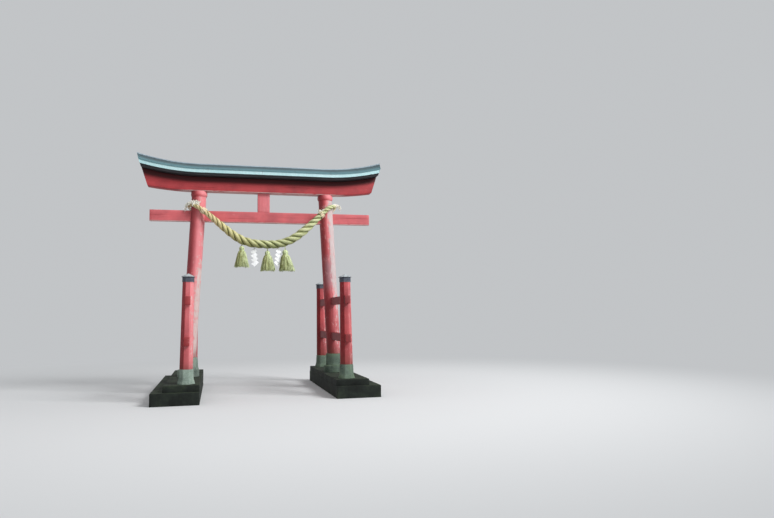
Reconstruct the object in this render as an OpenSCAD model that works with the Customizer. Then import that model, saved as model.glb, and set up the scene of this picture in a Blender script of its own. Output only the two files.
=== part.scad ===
// Torii gate: two round main pillars, each braced by a front and a rear support post.
// Millimetres, +Z up, X along the lintels and Y along the path through the gate.
// The origin is on the ground, midway between the two stone plinths.
// Heights in the sections are measured from the top of the plinths, unless they say otherwise.

/* [Stone plinths] */
// Height of the lower course
lower_course_h = 205; // [100:5:300]
// Height of the upper course
upper_course_h = 105; // [60:5:200]
// Width of the upper course across the gate
upper_course_w = 560; // [500:10:700]
// How far the lower course stands out on the outer side
lower_course_out = 190; // [0:10:300]
// How far the lower course stands out at each end
lower_course_end = 60; // [0:5:150]
// Margin of the upper course past the post bases
plinth_end_margin = 115; // [20:5:300]
// Margin of the plinth past the footing on the passage side
plinth_side_margin = 45; // [10:5:90]

/* [Main pillars] */
// Distance between the pillar axes at the top of the plinths
pillar_span = 2700; // [2500:10:2900]
// Diameter of a main pillar
pillar_d = 262; // [220:2:280]
// Lean of each pillar towards the passage, in degrees
pillar_lean = 3; // [0:0.1:4]

/* [Pillar footings] */
// Height of a pillar footing
footing_h = 345; // [200:5:450]
// Diameter of its upper tier
footing_d = 304; // [290:2:340]
// Diameter of its lower tier
footing_foot_d = 384; // [350:2:440]
// Height of its lower tier
footing_foot_h = 125; // [60:5:180]

/* [Pillar collars] */
// Largest diameter of a collar
collar_d = 294; // [284:2:320]
// Height of a collar
collar_h = 108; // [80:2:140]
// How far the collar swells beyond its ends
collar_swell = 9; // [0:1:14]

/* [Support posts] */
// Distance from the row of pillars to the post axes
post_reach = 1355; // [1000:5:1600]
// How far the post axes stand in from the pillar axes
post_set_in = 38; // [0:2:60]
// Width of a post across its flats at the foot
post_w = 208; // [170:2:230]
// Width of a post across its flats at the top
post_top_w = 174; // [140:2:200]
// Height of the top of a post
post_h = 1715; // [1600:5:2000]
// Lean of each post towards the passage, in degrees
post_lean = 0.6; // [0:0.1:1.5]

/* [Post bases] */
// Height of a concrete base
base_h = 235; // [150:5:300]
// Height of its flared foot
base_flare_h = 90; // [40:5:120]
// Width across flats at the ground
base_w = 275; // [250:5:320]
// Width across flats above the flare
base_neck_w = 232; // [222:2:246]
// Width of the small step above the flare
base_ledge = 6; // [2:1:16]
// Width across flats at the top
base_top_w = 220; // [212:2:240]

/* [Post caps] */
// Height of the metal sleeve round the post top
cap_sleeve_h = 80; // [40:5:140]
// Thickness of the sleeve
cap_wall = 4; // [2:0.5:8]
// Width of the cap across its eaves
cap_eave_w = 214; // [200:2:260]
// Thickness of the cap at its eaves
cap_eave_t = 7; // [3:1:15]
// Rise of the cap from its eaves to its tip
cap_rise = 52; // [20:2:120]
// Width of the blunt tip
cap_tip_w = 8; // [4:1:20]

/* [Side beams] */
// Width of a side beam
side_beam_w = 90; // [60:5:110]
// Height of a side beam
side_beam_h = 140; // [90:5:180]
// Underside of the lower side beam
lower_side_beam_z = 608; // [450:5:800]
// Underside of the upper side beam
upper_side_beam_z = 1262; // [1100:5:1350]
// How far a side beam stands out past the posts
side_beam_end = 100; // [20:5:160]

/* [Tie beam and strut] */
// Length of the tie beam
tie_beam_l = 4076; // [3600:10:4400]
// Height of the tie beam
tie_beam_h = 205; // [140:5:240]
// Thickness of the tie beam
tie_beam_t = 100; // [70:5:130]
// Underside of the tie beam
tie_beam_z = 2817; // [2700:5:2900]
// Width of the centre strut
strut_w = 225; // [140:5:300]
// Thickness of the centre strut
strut_t = 86; // [60:2:120]

/* [Lintels] */
// Underside of the lower lintel
lower_lintel_z = 3382; // [3300:5:3500]
// Height of the lower lintel
lower_lintel_h = 263; // [200:5:320]
// Thickness of the lower lintel
lower_lintel_t = 215; // [160:5:260]
// Thickness of the upper lintel
upper_lintel_t = 524; // [440:4:600]
// Half length of the lintels at the underside of the lower one
lintel_half_l = 2054; // [1900:10:2200]
// Slant of the lintel ends, in degrees from upright
end_slant = 18; // [0:1:25]
// Distance from the middle to where the lintels start to sweep up
sweep_start = 1150; // [900:10:1300]
// Radius of the sweep under the lower lintel
lower_sweep_r = 6100; // [5000:100:9000]
// Radius of the sweep under the upper lintel
upper_sweep_r = 4300; // [3600:100:4800]

/* [Roof] */
// Height of the bare face of the upper lintel below the fascia
bare_face_h = 45; // [20:1:70]
// Thickness of the eave fascias
fascia_t = 18; // [10:1:30]
// How far the roof stands out past the fascias
roof_lip = 8; // [0:1:20]
// Height of the eaves above the underside of the upper lintel
eave_h = 120; // [90:2:160]
// Rise of the roof from the eaves to the ridge
roof_rise = 143; // [100:1:200]
// Thickness of the roof covering, measured upright
roof_t = 9; // [5:1:20]
// Width of the ridge cap
ridge_cap_w = 90; // [50:2:160]
// Thickness of the ridge cap, measured upright
ridge_cap_t = 8; // [4:1:15]

/* [Rope, tassels and streamers] */
// Radius of the straw rope in the middle
rope_r = 60; // [40:1:60]
// Radius of the straw rope at its two ends
rope_end_r = 27; // [20:1:30]
// Thickness of the straw cord that ties the rope to each pillar
tie_cord_d = 30; // [16:1:40]
// Height of a straw tassel
tassel_h = 385; // [300:5:450]
// Width of a tassel at its hem
tassel_hem_d = 244; // [180:2:300]
// Width of the round head of a tassel
tassel_head_d = 84; // [60:2:110]
// Lean of the right tassel, in degrees
right_tassel_lean = 4; // [0:1:8]
// Width of one fold of a paper streamer
fold_w = 66; // [50:1:100]
// Height of one fold of a paper streamer
fold_h = 84; // [60:1:110]
// Thickness of a paper streamer
paper_t = 2; // [1:0.5:4]

/* [Hidden] */

// Which side a piece stands on, along X and along Y
LEFT = -1;
RIGHT = 1;
FRONT = -1;
REAR = 1;

// Clearance left between pieces that are fitted into one another
fit = 0.3;
// Length past every surface that a cutting shape runs
past = 600;
// Fineness of round pieces
round_fn = 96;

// Levels above the ground
plinth_top = lower_course_h + upper_course_h;
footing_top = plinth_top + footing_h;
base_top = plinth_top + base_h;
post_top = plinth_top + post_h;
tie_beam_bottom = plinth_top + tie_beam_z;
tie_beam_top = tie_beam_bottom + tie_beam_h;
lower_lintel_bottom = plinth_top + lower_lintel_z;
upper_lintel_bottom = lower_lintel_bottom + lower_lintel_h;
pillar_top = lower_lintel_bottom - collar_h;

// Place of the pillar and post axes at a height above the ground
function pillar_x(z) = pillar_span / 2 - tan(pillar_lean) * (z - plinth_top);
function post_x(z) = pillar_span / 2 - post_set_in - tan(post_lean) * (z - base_top);

// Faces of the plinths
footing_x = pillar_x(footing_top);
plinth_inner_x = footing_x - footing_foot_d / 2 - plinth_side_margin;
upper_course_half_l = post_reach + base_w / 2 + plinth_end_margin;
lower_course_half_l = upper_course_half_l + lower_course_end;

// Roof, as half widths and heights over the upper lintel's underside
core_half = upper_lintel_t / 2;
fascia_half = core_half + fascia_t;
roof_half = fascia_half + roof_lip;
function roof_z(y) = upper_lintel_bottom + eave_h + roof_rise * (1 - abs(y) / roof_half);
function core_z(y) = roof_z(y) - roof_t - fit;

// Centre and turn of the upward sweep at the lintel ends
upper_sweep_z = upper_lintel_bottom + upper_sweep_r;
lintel_stack_h = lower_lintel_h + eave_h + roof_rise + past;
lintel_reach = lintel_half_l + tan(end_slant) * lintel_stack_h;
sweep_turn = asin((lintel_reach - sweep_start) / (upper_sweep_r - eave_h - roof_rise));

// Route of the rope's centre line, left end first
rope_route = [
    [-1348, -6, 3416],
    [-1334, -75, 3434],
    [-1292, -135, 3428],
    [-1231, -170, 3398],
    [-1165, -181, 3360],
    [-1085, -188, 3303],
    [-1000, -192, 3238],
    [-870, -192, 3127],
    [-760, -192, 3033],
    [-640, -192, 2935],
    [-520, -192, 2848],
    [-390, -192, 2776],
    [-240, -192, 2731],
    [-100, -192, 2713],
    [50, -192, 2707],
    [200, -192, 2713],
    [330, -192, 2735],
    [490, -192, 2798],
    [620, -192, 2880],
    [735, -192, 2970],
    [865, -192, 3088],
    [1000, -192, 3218],
    [1090, -188, 3312],
    [1175, -181, 3392],
    [1245, -166, 3440],
    [1303, -124, 3466],
    [1337, -63, 3470],
    [1345, 0, 3456]
];
rope_last = len(rope_route) - 1;
// Sides of the rope's tube
rope_sides = 10;
// Growth of the rope's radius from one point of the route to the next, from each end
rope_growth = 5;
function rope_radius(i) = min(rope_r, rope_end_r + rope_growth * min(i, rope_last - i));

// Where the tassels and streamers hang along the rope
left_tassel_x = -407;
centre_tassel_x = 60;
right_tassel_x = 389;
left_streamer_x = -177;
right_streamer_x = 252;
// Length of the stem between the rope's underside and what hangs on it
left_tassel_drop = 55;
centre_tassel_drop = 55;
right_tassel_drop = 91;
streamer_drop = 24;
// Radius of the stems, and the length they are drawn with before they are cut off under the rope
stem_r = 12;
stem_reach = 70;
// Share of a tassel's height where the skirt ends, where the neck is and where the head is widest
skirt_share = 0.66;
neck_share = 0.78;
head_share = 0.89;
// Width of a tassel where its skirt ends and at its neck, as a share of the head's
shoulder_share = 1.25;
neck_width_share = 0.8;
// Folds of a streamer, with the turn and the sideways step of each, in degrees and as a share of its width
streamer_folds = 4;
fold_turn = 44;
fold_step = 0.12;
// How much of each fold lies over the one below
fold_lap = 0.25;
// Turn of the tie cord round a pillar, which leaves the front to the rope, in degrees
tie_turn = 236;
// How far a tie cord lies below the rope's end
tie_below_rope = 60;

// Direction of the route at one of its points, and the flat underside of the tube there
function along(i) = let (d = rope_route[min(i + 1, rope_last)] - rope_route[max(i - 1, 0)]) d / norm(d);
function down(i) = let (d = cross([0, 1, 0], along(i))) d / norm(d);
function underside(i) = rope_route[i] + down(i) * rope_radius(i) * cos(180 / rope_sides);

// Stretch of the tube over a place on X, and the height, depth and slope of its underside there
function stretch(x, i = 0) = (i >= rope_last - 1 || underside(i + 1)[0] >= x) ? i : stretch(x, i + 1);
function share(x, i) = (x - underside(i)[0]) / (underside(i + 1)[0] - underside(i)[0]);
function under_at(x) = let (i = stretch(x), t = share(x, i)) underside(i) * (1 - t) + underside(i + 1) * t;
function slope_at(x) = let (i = stretch(x), d = underside(i + 1) - underside(i)) atan(d[2] / d[0]);

// Plain shapes used by several pieces

// Eight-sided shaft, tapering from one width across flats at a height to another above it
module octagon_shaft(w0, z0, w1, z1) {
    intersection_for (i = [0:3])
        rotate([90, 0, 45 * i])
            linear_extrude(height = 2 * (w0 + w1), center = true)
                polygon([[-w0 / 2, z0], [w0 / 2, z0], [w1 / 2, z1], [-w1 / 2, z1]]);
}

// Keeps what lies between two heights
module between_heights(z0, z1) {
    intersection() {
        children();
        translate([-lintel_reach, -lintel_reach, z0])
            cube([2 * lintel_reach, 2 * lintel_reach, z1 - z0]);
    }
}

// Everything above a level line that sweeps up at both ends, drawn in X and Z
module above_line(z, r) {
    translate([-sweep_start, z])
        square([2 * sweep_start, 2 * r]);
    for (side = [LEFT, RIGHT])
        translate([side * sweep_start, z + r])
            circle(r = r, $fn = 4 * round_fn);
}

// Keeps what lies between the slanted ends of the lintels
module between_ends() {
    z0 = lower_lintel_bottom - past;
    z1 = upper_lintel_bottom + lintel_stack_h;
    x0 = lintel_half_l - tan(end_slant) * past;
    x1 = lintel_half_l + tan(end_slant) * (z1 - lower_lintel_bottom);
    intersection() {
        children();
        rotate([90, 0, 0])
            linear_extrude(height = 4 * roof_half, center = true)
                polygon([[-x0, z0], [x0, z0], [x1, z1], [-x1, z1]]);
    }
}

// Runs a section, drawn in Y and Z, along the lintels and up their swept ends
module along_sweep() {
    between_ends() {
        rotate([90, 0, 90])
            linear_extrude(height = 2 * sweep_start, center = true)
                children();
        for (turned = [0, 1])
            mirror([turned, 0, 0])
                translate([-sweep_start, 0, upper_sweep_z])
                    rotate([-90, 90, 0])
                        rotate_extrude(angle = sweep_turn, $fn = 4 * round_fn)
                            translate([upper_sweep_z, 0])
                                rotate(90)
                                    children();
    }
}

// Plinths

module lower_plinth(side) {
    w = upper_course_w + lower_course_out;
    color("dimgray")
        translate([side * (plinth_inner_x + w / 2), 0, lower_course_h / 2])
            cube([w, 2 * lower_course_half_l, lower_course_h], center = true);
}

module upper_plinth(side) {
    color("dimgray")
        translate([side * (plinth_inner_x + upper_course_w / 2), 0, lower_course_h + upper_course_h / 2])
            cube([upper_course_w, 2 * upper_course_half_l, upper_course_h], center = true);
}

module left_lower_plinth() { lower_plinth(LEFT); }
module right_lower_plinth() { lower_plinth(RIGHT); }
module left_upper_plinth() { upper_plinth(LEFT); }
module right_upper_plinth() { upper_plinth(RIGHT); }

// Pillar footings, pillars and collars

module pillar_footing(side) {
    color("darkseagreen")
        translate([side * footing_x, 0, plinth_top]) {
            cylinder(d = footing_foot_d, h = footing_foot_h, $fn = round_fn);
            cylinder(d = footing_d, h = footing_h, $fn = round_fn);
        }
}

module main_pillar(side) {
    color("indianred")
        difference() {
            between_heights(footing_top, pillar_top)
                translate([side * pillar_span / 2, 0, plinth_top])
                    rotate([0, -side * pillar_lean, 0])
                        cylinder(d = pillar_d, h = lower_lintel_z + past, $fn = round_fn);
            tie_beam_block(fit);
            side_beam_block(side, lower_side_beam_z, fit);
            side_beam_block(side, upper_side_beam_z, fit);
        }
}

module pillar_collar(side) {
    steps = 10;
    end_r = collar_d / 2 - collar_swell;
    color("indianred")
        translate([side * pillar_x(pillar_top + collar_h / 2), 0, pillar_top])
            rotate_extrude($fn = round_fn)
                polygon(concat(
                    [[0, 0]],
                    [for (i = [0:steps]) [
                        end_r + collar_swell * sin(180 * i / steps),
                        collar_h * i / steps
                    ]],
                    [[0, collar_h]]
                ));
}

module left_pillar_footing() { pillar_footing(LEFT); }
module right_pillar_footing() { pillar_footing(RIGHT); }
module left_main_pillar() { main_pillar(LEFT); }
module right_main_pillar() { main_pillar(RIGHT); }
module left_pillar_collar() { pillar_collar(LEFT); }
module right_pillar_collar() { pillar_collar(RIGHT); }

// Support posts with their bases and caps

// Puts what is drawn upright on the origin onto a post's axis
module on_post(side, end) {
    translate([side * post_x(base_top), end * post_reach, base_top])
        rotate([0, -side * post_lean, 0])
            children();
}

module support_post(side, end) {
    shaft_l = post_top - base_top;
    cut = 10 * fit;
    color("indianred")
        difference() {
            between_heights(base_top, post_top)
                on_post(side, end)
                    octagon_shaft(post_w, -cut, post_top_w, shaft_l + cut);
            side_beam_block(side, lower_side_beam_z, fit);
            side_beam_block(side, upper_side_beam_z, fit);
        }
}

module post_base(side, end) {
    color("darkseagreen")
        translate([side * post_x(base_top), end * post_reach, plinth_top]) {
            octagon_shaft(base_w, 0, base_neck_w + base_ledge, base_flare_h);
            octagon_shaft(base_neck_w, base_flare_h / 2, base_top_w, base_h);
        }
}

module post_cap(side, end) {
    taper = (post_w - post_top_w) / (post_top - base_top);
    inner_w = post_top_w + taper * cap_sleeve_h + 4 * fit;
    outer_w = inner_w + 2 * cap_wall;
    lift = post_top - base_top + 5 * fit;
    color("slategray")
        on_post(side, end)
            difference() {
                union() {
                    octagon_shaft(outer_w, lift - cap_sleeve_h, outer_w, lift + cap_eave_t / 2);
                    octagon_shaft(cap_eave_w, lift, cap_eave_w, lift + cap_eave_t);
                    octagon_shaft(cap_eave_w - 2 * cap_wall, lift + cap_eave_t / 2,
                        cap_tip_w, lift + cap_eave_t + cap_rise);
                }
                octagon_shaft(inner_w, lift - 2 * cap_sleeve_h, inner_w, lift);
            }
}

module left_front_post() { support_post(LEFT, FRONT); }
module left_rear_post() { support_post(LEFT, REAR); }
module right_front_post() { support_post(RIGHT, FRONT); }
module right_rear_post() { support_post(RIGHT, REAR); }
module left_front_base() { post_base(LEFT, FRONT); }
module left_rear_base() { post_base(LEFT, REAR); }
module right_front_base() { post_base(RIGHT, FRONT); }
module right_rear_base() { post_base(RIGHT, REAR); }
module left_front_cap() { post_cap(LEFT, FRONT); }
module left_rear_cap() { post_cap(LEFT, REAR); }
module right_front_cap() { post_cap(RIGHT, FRONT); }
module right_rear_cap() { post_cap(RIGHT, REAR); }

// Beams, strut and lintels

// Solid of a side beam, grown all round where it cuts its mortises
module side_beam_block(side, z, grow = 0) {
    half_l = post_reach + post_w / 2 + side_beam_end;
    middle_z = plinth_top + z + side_beam_h / 2;
    translate([side * post_x(middle_z), 0, middle_z])
        cube([side_beam_w + 2 * grow, 2 * half_l + 2 * grow, side_beam_h + 2 * grow], center = true);
}

// Solid of the tie beam, grown all round where it cuts its mortises
module tie_beam_block(grow = 0) {
    translate([0, 0, tie_beam_bottom + tie_beam_h / 2])
        cube([tie_beam_l, tie_beam_t + 2 * grow, tie_beam_h + 2 * grow], center = true);
}

module left_lower_side_beam() { color("firebrick") side_beam_block(LEFT, lower_side_beam_z); }
module left_upper_side_beam() { color("firebrick") side_beam_block(LEFT, upper_side_beam_z); }
module right_lower_side_beam() { color("firebrick") side_beam_block(RIGHT, lower_side_beam_z); }
module right_upper_side_beam() { color("firebrick") side_beam_block(RIGHT, upper_side_beam_z); }
module tie_beam() { color("indianred") tie_beam_block(); }

module centre_strut() {
    color("indianred")
        translate([-strut_w / 2, -strut_t / 2, tie_beam_top])
            cube([strut_w, strut_t, lower_lintel_bottom - tie_beam_top]);
}

module lower_lintel() {
    color("firebrick")
        between_ends()
            rotate([90, 0, 0])
                linear_extrude(height = lower_lintel_t, center = true)
                    difference() {
                        above_line(lower_lintel_bottom, lower_sweep_r);
                        above_line(upper_lintel_bottom - fit, upper_sweep_r);
                    }
}

module upper_lintel() {
    color("darkslategray")
        along_sweep()
            polygon([
                [-core_half, upper_lintel_bottom],
                [core_half, upper_lintel_bottom],
                [core_half, core_z(core_half)],
                [0, core_z(0)],
                [-core_half, core_z(core_half)]
            ]);
}

// Roof

module roof_slope(end) {
    color("lightsteelblue")
        along_sweep()
            polygon([
                [0, roof_z(0) - roof_t],
                [0, roof_z(0)],
                [end * roof_half, roof_z(roof_half)],
                [end * roof_half, roof_z(roof_half) - roof_t]
            ]);
}

module eave_fascia(end) {
    color("aliceblue")
        along_sweep()
            polygon([
                [end * core_half, upper_lintel_bottom + bare_face_h],
                [end * fascia_half, upper_lintel_bottom + bare_face_h],
                [end * fascia_half, core_z(fascia_half)],
                [end * core_half, core_z(core_half)]
            ]);
}

module roof_front_slope() { roof_slope(FRONT); }
module roof_rear_slope() { roof_slope(REAR); }
module front_fascia() { eave_fascia(FRONT); }
module rear_fascia() { eave_fascia(REAR); }

module roof_ridge_cap() {
    half_w = ridge_cap_w / 2;
    color("lightsteelblue")
        along_sweep()
            polygon([
                [-half_w, roof_z(half_w) + fit],
                [0, roof_z(0) + fit],
                [half_w, roof_z(half_w) + fit],
                [half_w, roof_z(half_w) + fit + ridge_cap_t],
                [0, roof_z(0) + fit + ridge_cap_t],
                [-half_w, roof_z(half_w) + fit + ridge_cap_t]
            ]);
}

// Rope, ties, tassels and streamers

// Tube along the rope's route, with a flat side below
module straw_rope() {
    n = rope_sides;
    points = [
        for (i = [0:rope_last])
            let (u = down(i), v = cross(along(i), u), r = rope_radius(i))
                for (k = [0:n - 1])
                    let (a = 360 * (k + 0.5) / n)
                        rope_route[i] + r * (u * cos(a) + v * sin(a))
    ];
    sides = [
        for (i = [0:rope_last - 1], k = [0:n - 1])
            let (a = i * n + k, b = i * n + (k + 1) % n)
                each [[a, b, b + n], [a, b + n, a + n]]
    ];
    start = [for (k = [n - 1:-1:0]) k];
    finish = [for (k = [0:n - 1]) rope_last * n + k];
    color("khaki")
        polyhedron(points = points, faces = concat([start, finish], sides));
}

// Cord round the back of a pillar, open at the front where the rope lies
module rope_tie(side, z) {
    color("khaki")
        translate([side * pillar_x(z), 0, z])
            rotate([0, -side * pillar_lean, 0])
                rotate([0, 0, 90 - tie_turn / 2])
                    rotate_extrude(angle = tie_turn, $fn = round_fn)
                        translate([pillar_d / 2 + fit + tie_cord_d / 2, 0])
                            circle(d = tie_cord_d, $fn = round_fn / 4);
}

module left_rope_tie() { rope_tie(LEFT, rope_route[0][2] - tie_below_rope); }
module right_rope_tie() { rope_tie(RIGHT, rope_route[rope_last][2] - tie_below_rope); }

// What hangs from the rope at a place on X, cut off along the rope's underside
module hung_at(x) {
    translate(under_at(x))
        difference() {
            children();
            rotate([0, -slope_at(x), 0])
                translate([-past / 2, -past / 2, -fit])
                    cube([past, past, past]);
        }
}

// Bound bundle of straw with a round head, hung from the rope by its stem
module tassel(x, drop, lean = 0) {
    color("khaki")
        hung_at(x)
            rotate([0, -lean, 0]) {
                translate([0, 0, -drop - tassel_h])
                    rotate_extrude($fn = round_fn)
                        polygon([
                            [0, 0],
                            [tassel_hem_d / 2, 0],
                            [tassel_head_d * shoulder_share / 2, tassel_h * skirt_share],
                            [tassel_head_d * neck_width_share / 2, tassel_h * neck_share],
                            [tassel_head_d / 2, tassel_h * head_share],
                            [stem_r, tassel_h],
                            [0, tassel_h]
                        ]);
                translate([0, 0, -drop - stem_r])
                    cylinder(r = stem_r, h = drop + stem_reach, $fn = round_fn);
            }
}

module left_tassel() { tassel(left_tassel_x, left_tassel_drop); }
module centre_tassel() { tassel(centre_tassel_x, centre_tassel_drop); }
module right_tassel() { tassel(right_tassel_x, right_tassel_drop, right_tassel_lean); }

// Zigzag of folded paper, each fold a slanted strip a step to the side of the one above
module streamer(x, side) {
    step = side * fold_w * fold_step;
    middle = (streamer_folds - 1) / 2;
    color("white")
        hung_at(x)
            rotate([90, 0, 0])
                linear_extrude(height = paper_t, center = true) {
                    for (i = [0:streamer_folds - 1])
                        translate([step * (i - middle), -streamer_drop - (i + 0.5) * fold_h])
                            rotate(-side * fold_turn)
                                square([fold_w, fold_h * (1 + fold_lap)], center = true);
                    translate([-step * middle - stem_r, -streamer_drop - fold_h / 2])
                        square([2 * stem_r, streamer_drop + fold_h]);
                }
}

module left_streamer() { streamer(left_streamer_x, RIGHT); }
module right_streamer() { streamer(right_streamer_x, LEFT); }

left_lower_plinth();
left_upper_plinth();
right_lower_plinth();
right_upper_plinth();
left_pillar_footing();
right_pillar_footing();
left_main_pillar();
right_main_pillar();
left_pillar_collar();
right_pillar_collar();
left_front_post();
left_rear_post();
right_front_post();
right_rear_post();
left_front_base();
left_rear_base();
right_front_base();
right_rear_base();
left_front_cap();
left_rear_cap();
right_front_cap();
right_rear_cap();
left_lower_side_beam();
left_upper_side_beam();
right_lower_side_beam();
right_upper_side_beam();
tie_beam();
centre_strut();
lower_lintel();
upper_lintel();
roof_front_slope();
roof_rear_slope();
roof_ridge_cap();
front_fascia();
rear_fascia();
straw_rope();
left_rope_tie();
right_rope_tie();
left_tassel();
centre_tassel();
right_tassel();
left_streamer();
right_streamer();
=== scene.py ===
"""Dresses the torii gate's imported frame: timber, concrete, stone, sheet metal, straw and paper."""

import logging
import math
import random
from abc import ABC, abstractmethod
from collections.abc import Callable, Iterator, Sequence
from dataclasses import dataclass, field
from enum import Enum
from typing import Any

import bmesh
import bpy
from mathutils import Matrix, Vector, noise

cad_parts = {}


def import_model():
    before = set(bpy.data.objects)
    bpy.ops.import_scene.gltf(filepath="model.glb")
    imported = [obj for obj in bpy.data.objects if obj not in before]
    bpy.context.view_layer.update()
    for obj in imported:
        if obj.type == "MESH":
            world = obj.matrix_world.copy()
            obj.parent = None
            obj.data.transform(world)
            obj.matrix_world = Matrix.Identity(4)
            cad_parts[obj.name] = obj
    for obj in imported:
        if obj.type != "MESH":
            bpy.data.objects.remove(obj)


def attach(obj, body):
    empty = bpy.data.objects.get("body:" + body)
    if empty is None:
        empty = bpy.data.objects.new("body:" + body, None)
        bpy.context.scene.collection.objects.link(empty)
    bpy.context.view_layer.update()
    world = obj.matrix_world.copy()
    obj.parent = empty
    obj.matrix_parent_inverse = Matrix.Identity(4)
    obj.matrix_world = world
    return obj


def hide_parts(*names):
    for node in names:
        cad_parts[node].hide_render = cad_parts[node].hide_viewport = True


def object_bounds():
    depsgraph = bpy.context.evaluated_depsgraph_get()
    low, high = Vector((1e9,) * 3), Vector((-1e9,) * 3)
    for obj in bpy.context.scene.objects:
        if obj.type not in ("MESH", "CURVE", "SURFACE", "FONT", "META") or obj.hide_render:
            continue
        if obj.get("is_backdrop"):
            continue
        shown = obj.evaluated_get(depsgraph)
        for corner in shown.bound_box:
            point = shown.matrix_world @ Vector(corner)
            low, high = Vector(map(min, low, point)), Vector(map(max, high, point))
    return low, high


log = logging.getLogger("gate")

Colour = tuple[float, float, float]
Place = tuple[float, float, float]


def tone(red: int, green: int, blue: int) -> Colour:
    """Turns a colour as a screen shows it, 0 to 255, into the linear values of a shader.

    Args:
        red: Its red part.
        green: Its green part.
        blue: Its blue part.

    Returns:
        The linear colour.
    """

    def linear(part: int) -> float:
        """Undoes the screen's curve on one part of the colour."""
        share = part / 255
        return share / 12.92 if share <= 0.04045 else ((share + 0.055) / 1.055) ** 2.4

    return linear(red), linear(green), linear(blue)


# Shader nodes


def worked(operation: str, from_right: bool = False) -> Callable[..., "Wire"]:
    """Makes a method of Wire that adds one Math node.

    Args:
        operation: The node's operation.
        from_right: Whether the wire comes second.

    Returns:
        The method.
    """

    def work(wire: "Wire", *other: "Wire | float") -> "Wire":
        """Works the wire, with the other value where the operation takes one."""
        parts = (*other, wire) if from_right else (wire, *other)
        return wire.bench.node("ShaderNodeMath", {"operation": operation}, dict(enumerate(parts)))

    return work


class Wire:
    """The output of a shader node, which Python's operators carry on through Math nodes."""

    __add__ = __radd__ = worked("ADD")
    __sub__ = worked("SUBTRACT")
    __rsub__ = worked("SUBTRACT", from_right=True)
    __mul__ = __rmul__ = worked("MULTIPLY")
    __truediv__ = worked("DIVIDE")
    __abs__ = worked("ABSOLUTE")
    peak = worked("MAXIMUM")
    dip = worked("MINIMUM")

    def __init__(self, bench: "Bench", socket: bpy.types.NodeSocket) -> None:
        """Wraps a socket of the bench's node tree."""
        self.bench = bench
        self.socket = socket

    def between(self, low: float, high: float) -> "Wire":
        """Rises smoothly from 0 at low to 1 at high, or falls where low is the larger.

        Args:
            low: Where it is 0.
            high: Where it is 1.

        Returns:
            The share between them.
        """
        return self.bench.node(
            "ShaderNodeMapRange",
            {"interpolation_type": "SMOOTHSTEP", "clamp": True},
            {0: self, 1: min(low, high), 2: max(low, high), 3: float(low > high), 4: float(low <= high)},
        )


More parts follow.
